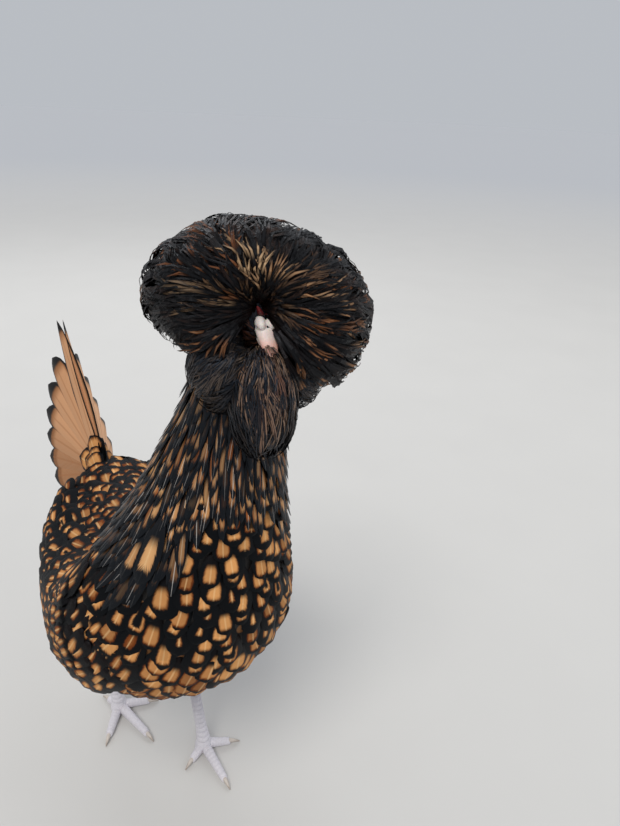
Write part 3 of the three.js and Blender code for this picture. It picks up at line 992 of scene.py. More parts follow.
class Modeller:
    """Shapes pieces by hand operations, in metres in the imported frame."""

    def __init__(self, datum: Datum) -> None:
        """Keeps where the design lies in the frame."""
        self.datum = datum

    def named(self, name: str) -> bpy.types.Object:
        """Names the newest object, and applies its place, turn and size.

        Args:
            name: The object's name.

        Returns:
            The object.
        """
        made = bpy.context.object
        made.name = name
        bpy.ops.object.transform_apply(location=True, rotation=True, scale=True)
        return made

    def clear(self) -> None:
        """Goes to object mode with nothing selected."""
        if bpy.context.object and bpy.context.object.mode != "OBJECT":
            bpy.ops.object.mode_set(mode="OBJECT")
        bpy.ops.object.select_all(action="DESELECT")

    def spin(self, angle: float, axis: str, middle: Array) -> None:
        """Turns what is selected.

        Args:
            angle: Radians.
            axis: X, Y or Z.
            middle: The point that it turns about.
        """
        if abs(angle) > 1e-6:
            bpy.ops.transform.rotate(value=TURN_SIGN * angle, orient_axis=axis, orient_type="GLOBAL",
                                     center_override=tuple(middle))

    def tube(self, name: str, rings: list[Ring], sides: int, levels: int = 1) -> bpy.types.Object:
        """Extrudes a closed tube through rings.

        Args:
            name: The object's name.
            rings: The rings in order.
            sides: Corners of each ring.
            levels: Levels of the subdivision that finishes it.

        Returns:
            The object.
        """
        self.clear()
        place = self.datum.place(rings[0].middle)
        bpy.ops.mesh.primitive_circle_add(vertices=sides, radius=MM, fill_type="NGON", location=tuple(place))
        made = self.named(name)
        bpy.ops.object.mode_set(mode="EDIT")
        bpy.ops.mesh.select_all(action="SELECT")
        held = Ring(rings[0].middle, 1.0, 1.0)
        for k, ring in enumerate(rings):
            if k:
                bpy.ops.mesh.extrude_region_move()
            old, new = self.datum.place(held.middle), self.datum.place(ring.middle)
            bpy.ops.transform.translate(value=tuple(new - old))
            self.spin(-held.yaw, "Z", new)
            self.spin(-held.tilt, "X", new)
            bpy.ops.transform.resize(value=(ring.across / held.across, ring.deep / held.deep, 1.0),
                                     orient_type="GLOBAL", center_override=tuple(new))
            self.spin(ring.tilt, "X", new)
            self.spin(ring.yaw, "Z", new)
            held = ring
        bpy.ops.mesh.select_all(action="SELECT")
        bpy.ops.mesh.normals_make_consistent(inside=False)
        bpy.ops.object.mode_set(mode="OBJECT")
        if levels:
            self.modify(made, "SUBSURF", levels=levels, render_levels=levels)
        bpy.ops.object.shade_smooth()
        return made

    def ball(self, name: str, middle: Array, radii: Place, turn: Array,
             segments: int = 24) -> bpy.types.Object:
        """Adds a ball, drawn out to an ellipsoid.

        Args:
            name: The object's name.
            middle: Its middle in the design's frame.
            radii: Its three radii in mm.
            turn: Its turn as a matrix.
            segments: Its segments round.

        Returns:
            The object.
        """
        self.clear()
        euler = Matrix(turn.tolist()).to_euler()
        bpy.ops.mesh.primitive_uv_sphere_add(segments=segments, ring_count=segments // 2, radius=1.0,
                                             location=tuple(self.datum.place(middle)), rotation=euler,
                                             scale=tuple(part * MM for part in radii))
        made = self.named(name)
        bpy.ops.object.shade_smooth()
        return made

    def modify(self, made: bpy.types.Object, kind: str, **settings: object) -> None:
        """Adds a modifier to an object and applies it.

        Args:
            made: The object.
            kind: The modifier's type.
            settings: Its properties.
        """
        bpy.ops.object.select_all(action="DESELECT")
        made.select_set(True)
        bpy.context.view_layer.objects.active = made
        modifier = made.modifiers.new(kind.title(), kind)
        for key, value in settings.items():
            setattr(modifier, key, value)
        bpy.ops.object.modifier_apply(modifier=modifier.name)

    def join(self, name: str, pieces: list[bpy.types.Object]) -> bpy.types.Object:
        """Joins pieces into one object.

        Args:
            name: The new object's name.
            pieces: The pieces.

        Returns:
            The joined object.
        """
        self.clear()
        for piece in pieces:
            piece.select_set(True)
        bpy.context.view_layer.objects.active = pieces[0]
        bpy.ops.object.join()
        made = bpy.context.object
        made.name = name
        made.data.name = name
        return made

    def fuse(self, made: bpy.types.Object, voxel: float, smooths: int) -> None:
        """Fuses an object's lumps into one skin, by a voxel's size in mm and rounds of smoothing."""
        self.modify(made, "REMESH", mode="VOXEL", voxel_size=voxel * MM, use_smooth_shade=True)
        self.modify(made, "SMOOTH", factor=0.5, iterations=smooths)

    def finish(self, made: bpy.types.Object, material: bpy.types.Material, slot: str, *nodes: str) -> None:
        """Dresses a piece and gives it its place in the part.

        Args:
            made: The object.
            material: Its finish.
            slot: The record's material slot; not used.
            nodes: The solids that it stands for.
        """
        self.clear()
        made.data.materials.clear()
        made.data.materials.append(material)
        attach(made, "root")
        if nodes:
            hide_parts(*nodes)
        LOG.info("%s: %d faces", made.name, len(made.data.polygons))


@dataclass
class Thigh:
    """One thigh: a cone from the hock up into the belly."""

    side: Side
    hock: Place
    reach: float = 48.0
    hock_radius: float = 9.7
    top_radius: float = 27.0
    depth: float = 3.5
    rows: int = 9
    each: int = 22
    length: tuple[float, float] = (17.0, 22.0)
    width: tuple[float, float] = (10.0, 13.0)

    @property
    def top(self) -> Array:
        """The upper end of the thigh's axis."""
        x, y, z = self.hock
        return np.array([x * 0.95, y - 16.0, z + self.reach + 14.0])

    def radius(self, share: Array) -> Array:
        """The thigh's outer radius at shares of its height."""
        return self.hock_radius + (self.top_radius - self.hock_radius) * np.asarray(share) ** 0.8

    def middle(self, share: Array) -> Array:
        """Points on the thigh's axis at shares of its height."""
        low = np.array(self.hock)
        return low + (self.top - low) * np.asarray(share, float)[..., None]

    def skin(self, modeller: Modeller) -> bpy.types.Object:
        """The bare thigh, which joins the body's skin.

        Args:
            modeller: What shapes it.

        Returns:
            The object.
        """
        rings = []
        for share in (0.02, 0.2, 0.5, 0.8, 1.0):
            size = float(self.radius(share)) - self.depth
            rings.append(Ring(tuple(self.middle(np.array(share))), size, size))
        return modeller.tube(f"thigh_{self.side.word}_skin", rings, 20)

    def feathers(self, seed: int) -> Batch:
        """Small feathers that lie down the thigh.

        Args:
            seed: Start of the random draw.

        Returns:
            The feathers.
        """
        draw = np.random.default_rng(seed)
        rows, each = self.rows, self.each
        count = rows * each
        share = np.repeat(np.linspace(0.16, 1.0, rows), each) + draw.normal(0, 0.02, count)
        around = np.tile(np.arange(each) / each * FULL, rows) + draw.normal(0, 0.12, count)
        around += np.repeat(np.arange(rows) % 2, each) * math.pi / each
        length = draw.uniform(*self.length, count)
        span = np.linalg.norm(self.top - np.array(self.hock))
        ray = np.stack([np.cos(around), np.sin(around), np.full_like(around, -0.15)], 1)
        points = []
        for t in BODY_VANE.shaft:
            at = np.clip(share - length * t / span, 0.0, 1.0)
            out = self.radius(at) - 3.0 + 3.4 * t
            past = np.maximum(0, length * t - share * span)[:, None]
            points.append(self.middle(at) + ray * out[:, None] - np.array([0, 0, 1.0]) * past * 0.4)
        faces = np.stack([unit(ray)] * len(points), 1)
        dye = dyes(draw.uniform(0, 1, count), draw.uniform(0.35, 0.8, count), draw.uniform(0.4, 1.0, count))
        offset = 0.1 if self.side is Side.RIGHT else 0.6
        patches = np.stack([offset + 0.3 * around / FULL, 0.05 + 0.3 * share], 1)
        width = draw.uniform(*self.width, count)
        return Batch(BODY_VANE, np.stack(points, 1), faces, width, dye, patches)


@dataclass
class Skin:
    """One skin under the feathers for the trunk, neck, head and thighs."""

    trunk: Trunk
    head: Head
    thighs: list[Thigh]
    body_depth: float = 6.0
    neck_depth: float = 8.0
    stations: tuple[float, float, float] = (0.3, 13.9, 0.4)
    least: float = 4.0
    neck: tuple[float, float] = (8.5, 10.5)
    tail_root: Place = (0.0, 129.0, 221.0)
    tail_root_radii: Place = (11.0, 17.0, 12.0)
    tail_root_pitch: float = 35.0
    inset: float = 0.6
    lid: Place = (4.6, 6.2, 5.4)
    lid_inset: float = 1.4
    voxel: float = 2.6

    def build(self, modeller: Modeller) -> None:
        """Shapes and dresses the skin.

        Args:
            modeller: What shapes it.
        """
        rings = []
        for station in np.arange(*self.stations):
            row = self.trunk.section(np.array(station))
            up = np.array([(row[0] - row[2]) / 2, (row[1] - row[3]) / 2])
            share = float(ease(*self.neck, station))
            depth = self.body_depth + (self.neck_depth - self.body_depth) * share
            deep = np.linalg.norm(up)
            middle = (row[5], (row[0] + row[2]) / 2, (row[1] + row[3]) / 2)
            rings.append(Ring(middle, max(row[4] - depth, self.least), max(deep - depth, self.least),
                              math.atan2(up[1], up[0]), math.radians(row[6])))
        pieces = [modeller.tube("trunk_skin", rings, 40, levels=0)]
        head = self.head
        balls = (("skull", (0, 0, 0), head.skull), ("crown", head.crown_at, head.crown))
        for name, place, radii in balls:
            radii = tuple(radius - self.inset for radius in radii)
            pieces.append(modeller.ball(name, head.place(*place), radii, head.turn))
        pieces.append(modeller.ball("tail_root", np.array(self.tail_root), self.tail_root_radii,
                                    turned(0, self.tail_root_pitch)))
        x, y, z = head.eye
        for side in Side:
            place = head.place(side.value * (x - self.lid_inset), y, z)
            pieces.append(modeller.ball(f"lid_{side.word}", place, self.lid, head.turn, 16))
        pieces += [thigh.skin(modeller) for thigh in self.thighs]
        made = modeller.join("plumage_skin", pieces)
        modeller.fuse(made, self.voxel, 4)
        finish = SkinFinish(tuple(modeller.datum.place(head.place(0, -18, 2))))
        modeller.finish(made, finish.material(), "face_skin", "torso", "neck", "head", "thigh_right",
                        "thigh_left")


@dataclass
class Bill:
    """The beak with its bulbous nostrils, and the small horns of comb over it."""

    head: Head
    root: float = 17.0
    tip: float = 42.0
    drop: float = -4.5
    half_width: float = 6.0
    rise: float = 8.2
    lower_short: float = 4.0
    lower_narrow: float = 1.1
    lower_deep: float = 4.6
    nostril: tuple[Place, Place] = ((2.9, -22.5, 7.2), (3.1, 5.2, 3.6))
    slit: tuple[Place, Place] = ((4.6, -24.2, 6.8), (1.3, 2.3, 0.8))
    comb_foot: Place = (1.6, -19.5, 10.0)
    comb_run: Place = (3.0, -0.5, 6.5)
    comb_radius: float = 2.1

    def mouth(self, share: float) -> float:
        """Height of the mouth line at a share of the beak's length."""
        return 0.5 + (self.drop - 0.5) * share ** 1.3

    def ring(self, share: float, low: float, high: float, half: float, reach: float) -> Ring:
        """One ring of a mandible.

        Args:
            share: Its place along the beak.
            low: Its lowest height in the head's frame.
            high: Its highest height.
            half: Its half width.
            reach: How far forward the mandible's tip is.

        Returns:
            The ring.
        """
        y = -(self.root + (reach - self.root) * share)
        middle = self.head.place(0, y, (low + high) / 2)
        return Ring(tuple(middle), max(half, 0.3), max((high - low) / 2, 0.3),
                    math.radians(90 + self.head.pitch), math.radians(self.head.yaw))

    def upper(self, modeller: Modeller) -> bpy.types.Object:
        """Shapes the upper mandible with its nostrils.

        Args:
            modeller: What shapes it.

        Returns:
            The object.
        """
        rings = []
        for share in (0.0, 0.15, 0.32, 0.5, 0.68, 0.82, 0.92, 0.98):
            half = self.half_width * math.sqrt(1 - 0.93 * share ** 2.6)
            low = self.mouth(share) - 1.2 * share ** 6
            high = self.mouth(share) + self.rise * (1 - 0.80 * share ** 2.2)
            rings.append(self.ring(share, low, high, half, self.tip))
        pieces = [modeller.tube("upper_mandible", rings, 16, 1)]
        slits = []
        for kind, ((x, y, z), radii), sides, found in (
                ("nostril", self.nostril, 16, pieces), ("slit", self.slit, 12, slits)):
            for side in Side:
                middle = self.head.place(side.value * x, y, z)
                found.append(modeller.ball(f"{kind}_{side.word}", middle, radii, self.head.turn, sides))
        made = modeller.join("upper_beak_horn", pieces)
        modeller.fuse(made, 0.35, 3)
        cutter = modeller.join("slits", slits)
        modeller.modify(made, "BOOLEAN", operation="DIFFERENCE", object=cutter, solver="EXACT")
        bpy.data.objects.remove(cutter)
        return made

    def lower(self, modeller: Modeller) -> bpy.types.Object:
        """Shapes the lower mandible.

        Args:
            modeller: What shapes it.

        Returns:
            The object.
        """
        rings = []
        for share in (0.0, 0.25, 0.5, 0.75, 0.92):
            half = (self.half_width - self.lower_narrow) * math.sqrt(1 - 0.85 * share ** 2)
            high = self.mouth(share) + 0.3
            low = high - self.lower_deep * (1 - 0.6 * share)
            rings.append(self.ring(share, low, high, half, self.tip - self.lower_short))
        return modeller.tube("lower_beak_horn", rings, 14, 2)

    def comb(self, modeller: Modeller) -> bpy.types.Object:
        """Shapes the two small horns of the comb.

        Args:
            modeller: What shapes them.

        Returns:
            The object.
        """
        horns = []
        for side in Side:
            rings = []
            for share in (0.0, 0.3, 0.6, 0.85, 1.0):
                x, y, z = (foot + run * share for foot, run in zip(self.comb_foot, self.comb_run))
                middle = self.head.place(side.value * x, y, z)
                size = self.comb_radius * (1 - 0.75 * share ** 2) * (1 + 0.12 * math.sin(share * 19))
                rings.append(Ring(tuple(middle), size, size))
            horns.append(modeller.tube(f"comb_{side.word}", rings, 12, 2))
        return modeller.join("comb_flesh", horns)

    def build(self, modeller: Modeller) -> None:
        """Shapes and dresses the beak and comb.

        Args:
            modeller: What shapes them.
        """
        ends = [tuple(modeller.datum.place(self.head.place(0, y, z)))
                for y, z in ((-20, 6), (-42, -4), (-19, 9), (-19, 18))]
        horn = HornFinish("beak_horn", linear(238, 226, 220), linear(228, 168, 150), *ends[:2],
                          roughness=0.42, subsurface=0.15).material()
        flesh = HornFinish("comb_flesh", linear(74, 14, 18), linear(112, 24, 26), *ends[2:],
                           roughness=0.5, mottle=500.0, depth=0.6, subsurface=0.1).material()
        modeller.finish(self.upper(modeller), horn, "beak", "upper_beak")
        modeller.finish(self.lower(modeller), horn, "beak", "lower_beak")
        modeller.finish(self.comb(modeller), flesh, "comb", "comb")


@dataclass
class Eye:
    """One eye: a ball with a raised cornea."""

    head: Head
    side: Side

    def build(self, modeller: Modeller) -> None:
        """Shapes and dresses the eye.

        Args:
            modeller: What shapes it.
        """
        x, y, z = self.head.eye
        middle = self.head.place(self.side.value * x, y, z)
        gaze = self.head.turn @ unit(np.array([self.side.value * 0.95, -0.3, 0.05]))
        radius = self.head.eye_radius
        ball = modeller.ball(f"eye_{self.side.word}_ball", middle, (radius,) * 3, self.head.turn, 32)
        cornea = modeller.ball("cornea", middle + gaze * 1.5, (radius * 0.74,) * 3, self.head.turn, 24)
        made = modeller.join(f"eye_{self.side.word}_ball", [ball, cornea])
        modeller.fuse(made, 0.3, 2)
        finish = EyeFinish(f"eye_{self.side.word}", tuple(modeller.datum.place(middle)), tuple(gaze),
                           radius * MM)
        modeller.finish(made, finish.material(), "eye", f"eye_{self.side.word}")


@dataclass
class Leg:
    """One shank with its foot: scutes down the front, four toes and four claws."""

    side: Side
    hock: Place
    pad: Place
    tips: dict[str, tuple[float, float]]
    ankle: float = 13.0
    radius: float = 5.0
    hock_radius: float = 7.6
    toe_radius: float = 4.9
    toe_tip: float = 3.1
    claw: float = 11.0
    nail_radius: float = 2.3
    scutes: int = 17
    toe_scutes: int = 9
    flare: tuple[float, float] = (1.10, 0.94)
    scute_bevel: float = 0.22
    swell: tuple[float, float] = (1.5, 0.12)
    wider: tuple[float, float] = (0.7, 0.26)
    pad_rings: tuple[tuple[float, float], ...] = (
        (0.2, 7.2), (1.6, 8.0), (4.5, 8.2), (8.0, 7.2), (11.0, 6.4), (13.5, 6.3))

    def shank_middle(self, share: float) -> Array:
        """A point on the shank's axis at a share of its height."""
        foot = np.array([self.pad[0], self.pad[1], self.ankle])
        return foot + (np.array(self.hock) - foot) * share

    def shank_radius(self, share: float) -> float:
        """The shank's radius at a share of its height, wider at its foot and towards the hock."""
        rise = min(max((share - self.wider[0]) / self.wider[1], 0.0), 1.0) * (self.hock_radius - self.radius)
        return self.radius + self.swell[0] * math.exp(-((share / self.swell[1]) ** 2)) + rise

    def toe_size(self, share: float) -> float:
        """A toe's radius at a share of its length."""
        return self.toe_radius + (self.toe_tip - self.toe_radius) * share

    def heading(self, tip: tuple[float, float]) -> tuple[float, Array, float]:
        """Finds how a toe runs from the pad to its claw's tip.

        Args:
            tip: The claw's tip on the floor.

        Returns:
            Its length, its direction on the floor and its yaw in radians.
        """
        run = np.array(tip) - np.array(self.pad[:2])
        length = np.linalg.norm(run)
        along = run / length
        return length, along, math.atan2(along[1], along[0]) + math.pi / 2

    def scute(self, modeller: Modeller, name: str, ring: Ring, length: float) -> bpy.types.Object:
        """One overlapping scute that wraps a limb.

        Args:
            modeller: What shapes it.
            name: The object's name.
            ring: The limb's ring at the scute's middle.
            length: The scute's length along the limb.

        Returns:
            The object.
        """
        modeller.clear()
        middle = modeller.datum.place(ring.middle)
        bpy.ops.mesh.primitive_cone_add(vertices=14, radius1=self.flare[0], radius2=self.flare[1],
                                        depth=1.0, location=tuple(middle))
        made = modeller.named(name)
        bpy.ops.object.mode_set(mode="EDIT")
        bpy.ops.mesh.select_all(action="SELECT")
        bpy.ops.transform.resize(value=(ring.across * MM, ring.deep * MM, length * MM),
                                 orient_type="GLOBAL", center_override=tuple(middle))
        bpy.ops.mesh.bevel(offset=self.scute_bevel * MM, segments=1, affect="EDGES")
        modeller.spin(ring.tilt, "X", middle)
        modeller.spin(ring.yaw, "Z", middle)
        bpy.ops.object.mode_set(mode="OBJECT")
        bpy.ops.object.shade_smooth()
        return made

    def toe(self, modeller: Modeller, name: str, tip: tuple[float, float]) -> list[bpy.types.Object]:
        """One toe with its scutes.

        Args:
            modeller: What shapes it.
            name: The toe's name.
            tip: The claw's tip on the floor.

        Returns:
            The toe's pieces.
        """
        start = np.array(self.pad[:2])
        length, along, yaw = self.heading(tip)
        reach = length - self.claw + 2.0
        rings = []
        for share in (0.0, 0.1, 0.25, 0.4, 0.55, 0.7, 0.85, 0.96, 1.0):
            size = self.toe_size(share)
            size *= 1.0 + 0.08 * math.sin(share * 3 * FULL)
            size *= 0.7 if share == 1.0 else 1.0
            spot = start + along * reach * share
            rings.append(Ring((spot[0], spot[1], size * 0.86), size, size * 0.86, math.pi / 2, yaw))
        pieces = [modeller.tube(f"toe_{name}", rings, 12, 1)]
        for k in range(self.toe_scutes):
            share = 0.12 + 0.86 * k / self.toe_scutes
            size = self.toe_size(share)
            spot = start + along * reach * share
            ring = Ring((spot[0], spot[1], size * 1.04), size * 0.93, size * 0.93, math.pi / 2, yaw)
            pieces.append(self.scute(modeller, f"scute_{name}_{k}", ring, reach / self.toe_scutes * 1.02))
        return pieces

    def nail(self, modeller: Modeller, name: str, tip: tuple[float, float],
             material: bpy.types.Material) -> None:
        """One claw, curved down to the floor.

        Args:
            modeller: What shapes it.
            name: The toe's name.
            tip: The claw's tip on the floor.
            material: The claw's finish.
        """
        _, along, yaw = self.heading(tip)
        rings = []
        for share in (0.0, 0.25, 0.5, 0.72, 0.88, 0.97):
            size = self.nail_radius * (1 - share ** 1.8) + 0.2
            spot = np.array(tip) - along * self.claw * (1 - share)
            z = max(3.3 * (1 - share ** 1.9) + 0.3, size)
            rings.append(Ring((spot[0], spot[1], z), size * 0.85, size, math.pi / 2, yaw))
        made = modeller.tube(f"nail_{self.side.word}_{name}", rings, 10, 2)
        modeller.finish(made, material, "claw", f"claw_{self.side.word}_{name}")

    def build(self, modeller: Modeller, skin: bpy.types.Material, claw: bpy.types.Material) -> None:
        """Shapes and dresses the leg.

        Args:
            modeller: What shapes it.
            skin: The scaly skin's finish.
            claw: The claws' finish.
        """
        rings = []
        for share in (0.0, 0.08, 0.2, 0.4, 0.6, 0.75, 0.9, 1.0):
            size = self.shank_radius(share) - 0.5
            rings.append(Ring(tuple(self.shank_middle(share)), size * 0.92, size))
        pieces = [modeller.tube(f"shank_{self.side.word}", rings, 16, 1)]
        tall = self.hock[2] - self.ankle
        for k in range(self.scutes):
            share = (k + 0.5) / self.scutes
            size = self.shank_radius(share)
            ring = Ring(tuple(self.shank_middle(share)), size * 0.9, size * 0.98)
            pieces.append(self.scute(modeller, f"shank_scute_{k}", ring, tall / self.scutes * 1.08))
        shank = modeller.join(f"shank_{self.side.word}_scales", pieces)
        modeller.finish(shank, skin, "leg_skin", f"shank_{self.side.word}")
        x, y, _ = self.pad
        pieces = [modeller.tube("pad", [Ring((x, y, z), r, r) for z, r in self.pad_rings], 18, 1)]
        for name, tip in self.tips.items():
            pieces += self.toe(modeller, name, tip)
            self.nail(modeller, name, tip, claw)
        foot = modeller.join(f"foot_{self.side.word}_scales", pieces)
        modeller.finish(foot, skin, "leg_skin", f"foot_{self.side.word}")


@dataclass(frozen=True)
class Tint:
    """A coloured place on a plume: its direction, how wide it is, its dye, and how far it stands out."""

    way: Place
    angle: float
    share: float
    mark: float
    warm: float
    out: float = 0.0


@dataclass(frozen=True)
class Layer:
    """One layer of a plume: loose feathers, each a bunch of strands on one shaft."""

    shape: VaneShape
    count: int
    strands: int
    width: tuple[float, float]
    length: tuple[float, float]
    root: float
    reach: tuple[float, float]
    spread: float = 0.0
    wild: float = 0.03


@dataclass
class Plume:
    """A mass of feathers that part from a hollow and lie over a core."""

    name: str
    slot: str
    at: Place
    radii: Place
    turn: tuple[float, float, float]
    pole: Place
    bare: float
    tints: tuple[Tint, ...] = ()
    dip: float = 0.0
    dip_angle: float = 25.0
    mark: tuple[float, float] = (0.0, 0.1)
    warm: tuple[float, float] = (0.3, 0.7)
    flecks: float = 0.0
    clear: float = 0.0
    low: float = -1.0
    crown: Place = (0.0, 0.0, 0.0)
    behind: tuple[float, float] = (80.0, 150.0)
    arch: tuple[float, float] = (0.66, 0.8)
    dents: tuple[tuple[Place, float, float], ...] = ()
    open: tuple[tuple[Place, float], ...] = ()

    def grows(self, way: Array) -> Array:
        """Says where the plume has feathers.

        Args:
            way: Directions of feather tips in the plume's frame.

        Returns:
            True for each direction with feathers.
        """
        face = (way[:, 1] < 0) & (way[:, 2] < 0.05) & (np.abs(way[:, 0] + 0.1) < self.clear)
        grown = (way[:, 2] > self.low) & ~face
        for middle, angle in self.open:
            grown &= way @ unit(np.array(middle)) < math.cos(math.radians(angle))
        return grown

    def dyed(self, way: Array, draw: np.random.Generator) -> tuple[Array, Array, Array]:
        """Picks the colour of each feather.

        Args:
            way: Directions of the feather tips.
            draw: Random numbers.

        Returns:
            Amounts of gold, their warmth, and how far each feather stands out.
        """
        count = len(way)
        mark = draw.uniform(*self.mark, count)
        warm = draw.uniform(*self.warm, count)
        mark = np.where(draw.uniform(0, 1, count) < self.flecks, 0.75, mark)
        out = np.zeros(count)
        seen = between(unit(np.array(self.pole)), way, np.full((count, 1), 0.8))
        for tint in self.tints:
            chosen = degrees_off(seen, tint.way) < tint.angle * draw.uniform(0.6, 1.2, count)
            chosen &= draw.uniform(0, 1, count) < tint.share
            mark = np.where(chosen, tint.mark * draw.uniform(0.75, 1.0, count), mark)
            warm = np.where(chosen, tint.warm + draw.normal(0, 0.08, count), warm)
            out = np.where(chosen, tint.out, out)
        return mark, np.clip(warm, 0, 1), out

    def feathers(self, layer: Layer, seed: int) -> Batch:
        """Lays one layer.

        Args:
            layer: The layer.
            seed: Start of the random draw.

        Returns:
            The strands.
        """
        draw = np.random.default_rng(seed)
        start = unit(np.array(self.pole))
        way = unit(even_ways(layer.count) + draw.normal(0, 0.03, (layer.count, 3)))
        way = way[(degrees_off(way, self.pole) > self.bare) & self.grows(way)]
        mark, warm, out = self.dyed(way, draw)
        many = layer.strands
        reach = draw.uniform(*layer.reach, len(way)) + out * (many > 1)
        for middle, wide, depth in self.dents:
            reach = reach - depth * np.exp(-np.square(degrees_off(way, middle) / wide))
        bend = np.cross(way, start) * draw.normal(0, layer.wild * 2.0, (len(way), 1))
        tone = draw.uniform(0, 1, len(way))
        way, mark, warm, reach, bend, tone = (
            np.repeat(a, many, 0) for a in (way, mark, warm, reach, bend, tone))
        count = len(way)
        tone = tone + OWN_TONE * (draw.uniform(0, 1, count) - tone) * (many > 1)
        stray = draw.normal(0, layer.spread, (count, 3))
        behind = ease(*self.behind, degrees_off(way, self.pole))
        start = unit(start + behind[:, None] * np.array(self.crown))
        angle = np.arccos(np.clip(np.sum(way * start, axis=1), -1, 1))
        size = float(np.mean(self.radii))
        length = draw.uniform(*layer.length, count) / size
        first = np.maximum(1.0 - length / angle, 0.05)
        last = 1.0 - draw.uniform(0.0, 0.22, count) * (1.0 - first) * (many > 1)
        spin, radii = turned(*self.turn), np.array(self.radii)
        points = []
        for t in layer.shape.shaft:
            share = first + (last - first) * t
            aim = unit(way + stray * t ** 1.2 + bend * t * t)
            ways = between(start, aim, share[:, None])
            dip = 1.0 - self.dip * np.exp(-np.square(np.degrees(angle * share) / self.dip_angle))
            rise = math.sin(self.arch[0] * math.pi * t) ** self.arch[1]
            far = (layer.root + (reach - layer.root) * rise) * dip
            points.append((ways * radii * far[:, None]) @ spin.T + np.array(self.at))
        paths = np.stack(points, 1)
        faces = unit(paths - np.array(self.at))
        faces = unit(faces + draw.normal(0, 0.2, (count, 1, 3)))
        lit = np.where(draw.uniform(0, 1, count) < 0.68, draw.uniform(0.7, 1.0, count), 0.0)
        dye = dyes(tone, mark * lit if many > 1 else mark, warm)
        height = np.arccos(np.clip(way[:, 2], -1, 1)) / math.pi
        patches = on_map(np.arctan2(way[:, 1], way[:, 0]), height)
        return Batch(layer.shape, paths, faces, draw.uniform(*layer.width, count), dye, patches)


def hackle_foot(around: Array) -> Array:
    """Lowest station of a hackle root, for angles round the neck."""
    low = 8.9 + 2.55 * ease(20.0, 165.0, np.degrees(np.arccos(np.cos(around))))
    return low - 0.6 * ease(math.cos(math.radians(34)), 1.0, np.cos(around - math.radians(-108)))


@dataclass
class BodyCoat:
    """Rounded spangled feathers over the trunk, from the neck's foot to the rump."""

    trunk: Trunk
    apart: float = 12.0
    squash: float = 1.75
    low: float = 0.55
    high: float = 11.6
    depth: float = 4.6
    length: tuple[float, float] = (25.0, 31.0)
    width: tuple[float, float] = (19.0, 25.0)
    shoulder_roots: tuple[float, float, float] = (2.6, 8.5, 8.0)
    shoulder_length: tuple[float, float] = (24.0, 30.0)
    shoulder_width: tuple[float, float] = (16.0, 20.0)

    def feathers(self, seed: int) -> Batch:
        """Lays the feathers.

        Args:
            seed: Start of the random draw.

        Returns:
            The feathers.
        """
        draw = np.random.default_rng(seed)
        station, around = self.trunk.scatter(self.low, self.high, self.apart, draw, self.squash)
        kept = station < hackle_foot(around) + 0.5
        station, around = station[kept], around[kept]
        count = len(station)
        belly = (1 - np.cos(around)) / 2
        back = 1 - ease(0.2, 0.6, belly)
        upper = ease(7.8, 9.8, station)
        length = draw.uniform(*self.length, count) * (1 - 0.2 * upper)
        width = draw.uniform(*self.width, count) * (1 - 0.3 * upper)
        shaft = BODY_VANE.shaft
        rise = -self.depth + (self.depth + 0.2) * shaft ** 0.8
        lift = rise[None] + draw.normal(0, 0.35, (count, 1))
        lift = lift + 0.7 * draw.uniform(0, 1, (count, 1)) * shaft ** 3
        sway = draw.normal(0, 0.05, count)
        mark = 0.14 + 0.26 * upper + 0.36 * back + draw.normal(0, 0.12, count)
        mark = np.where(draw.uniform(0, 1, count) < 0.16, mark + 0.4, mark)
        # Painted shade: the gold deepens low on the belly and over the back, where the body is shaded; the
        # normal spread is random.
        warm = 0.28 + 0.8 * belly * ease(9.5, 6.2, station) + draw.normal(0, 0.2, count) + 0.3 * back
        dye = dyes(draw.uniform(0, 1, count), np.maximum(mark, 0.02), warm)
        return self.trunk.laid(BODY_VANE, station, around, length, width, sway, lift, dye)

    def shoulder(self, side: Side, seed: int) -> Batch:
        """Lays the feathers that cover the root and the upper edge of a wing.

        Args:
            side: Which side.
            seed: Start of the random draw.

        Returns:
            The feathers.
        """
        draw = np.random.default_rng(seed)
        station, around = self.trunk.scatter(*self.shoulder_roots, draw)
        angle = side.value * np.degrees(np.arctan2(np.sin(around), np.cos(around)))
        root = (station > 6.7) & (angle > 48) & (angle < 124)
        ridge = (station < 7.4) & (angle > 36) & (angle < 64)
        station, around, angle = (part[root | ridge] for part in (station, around, angle))
        count = len(station)
        over = 5.6 * ease(8.6, 7.2, station) * ease(34.0, 56.0, angle)
        rise = (3.4 + 2.6 * ease(70.0, 40.0, angle))[:, None] * BODY_VANE.shaft[None] ** 0.8
        lift = -3.0 + over[:, None] + rise + draw.normal(0, 0.3, (count, 1))
        sway = draw.normal(0, 0.05, count) + side.value * 0.16 * ease(68.0, 52.0, angle)
        length = draw.uniform(*self.shoulder_length, count)
        mark, warm = 0.62 + draw.normal(0, 0.12, count), 0.4 + draw.normal(0, 0.14, count)
        dye = dyes(draw.uniform(0, 1, count), mark, warm)
        width = draw.uniform(*self.shoulder_width, count)
        return self.trunk.laid(BODY_VANE, station, around, length, width, sway, lift, dye)


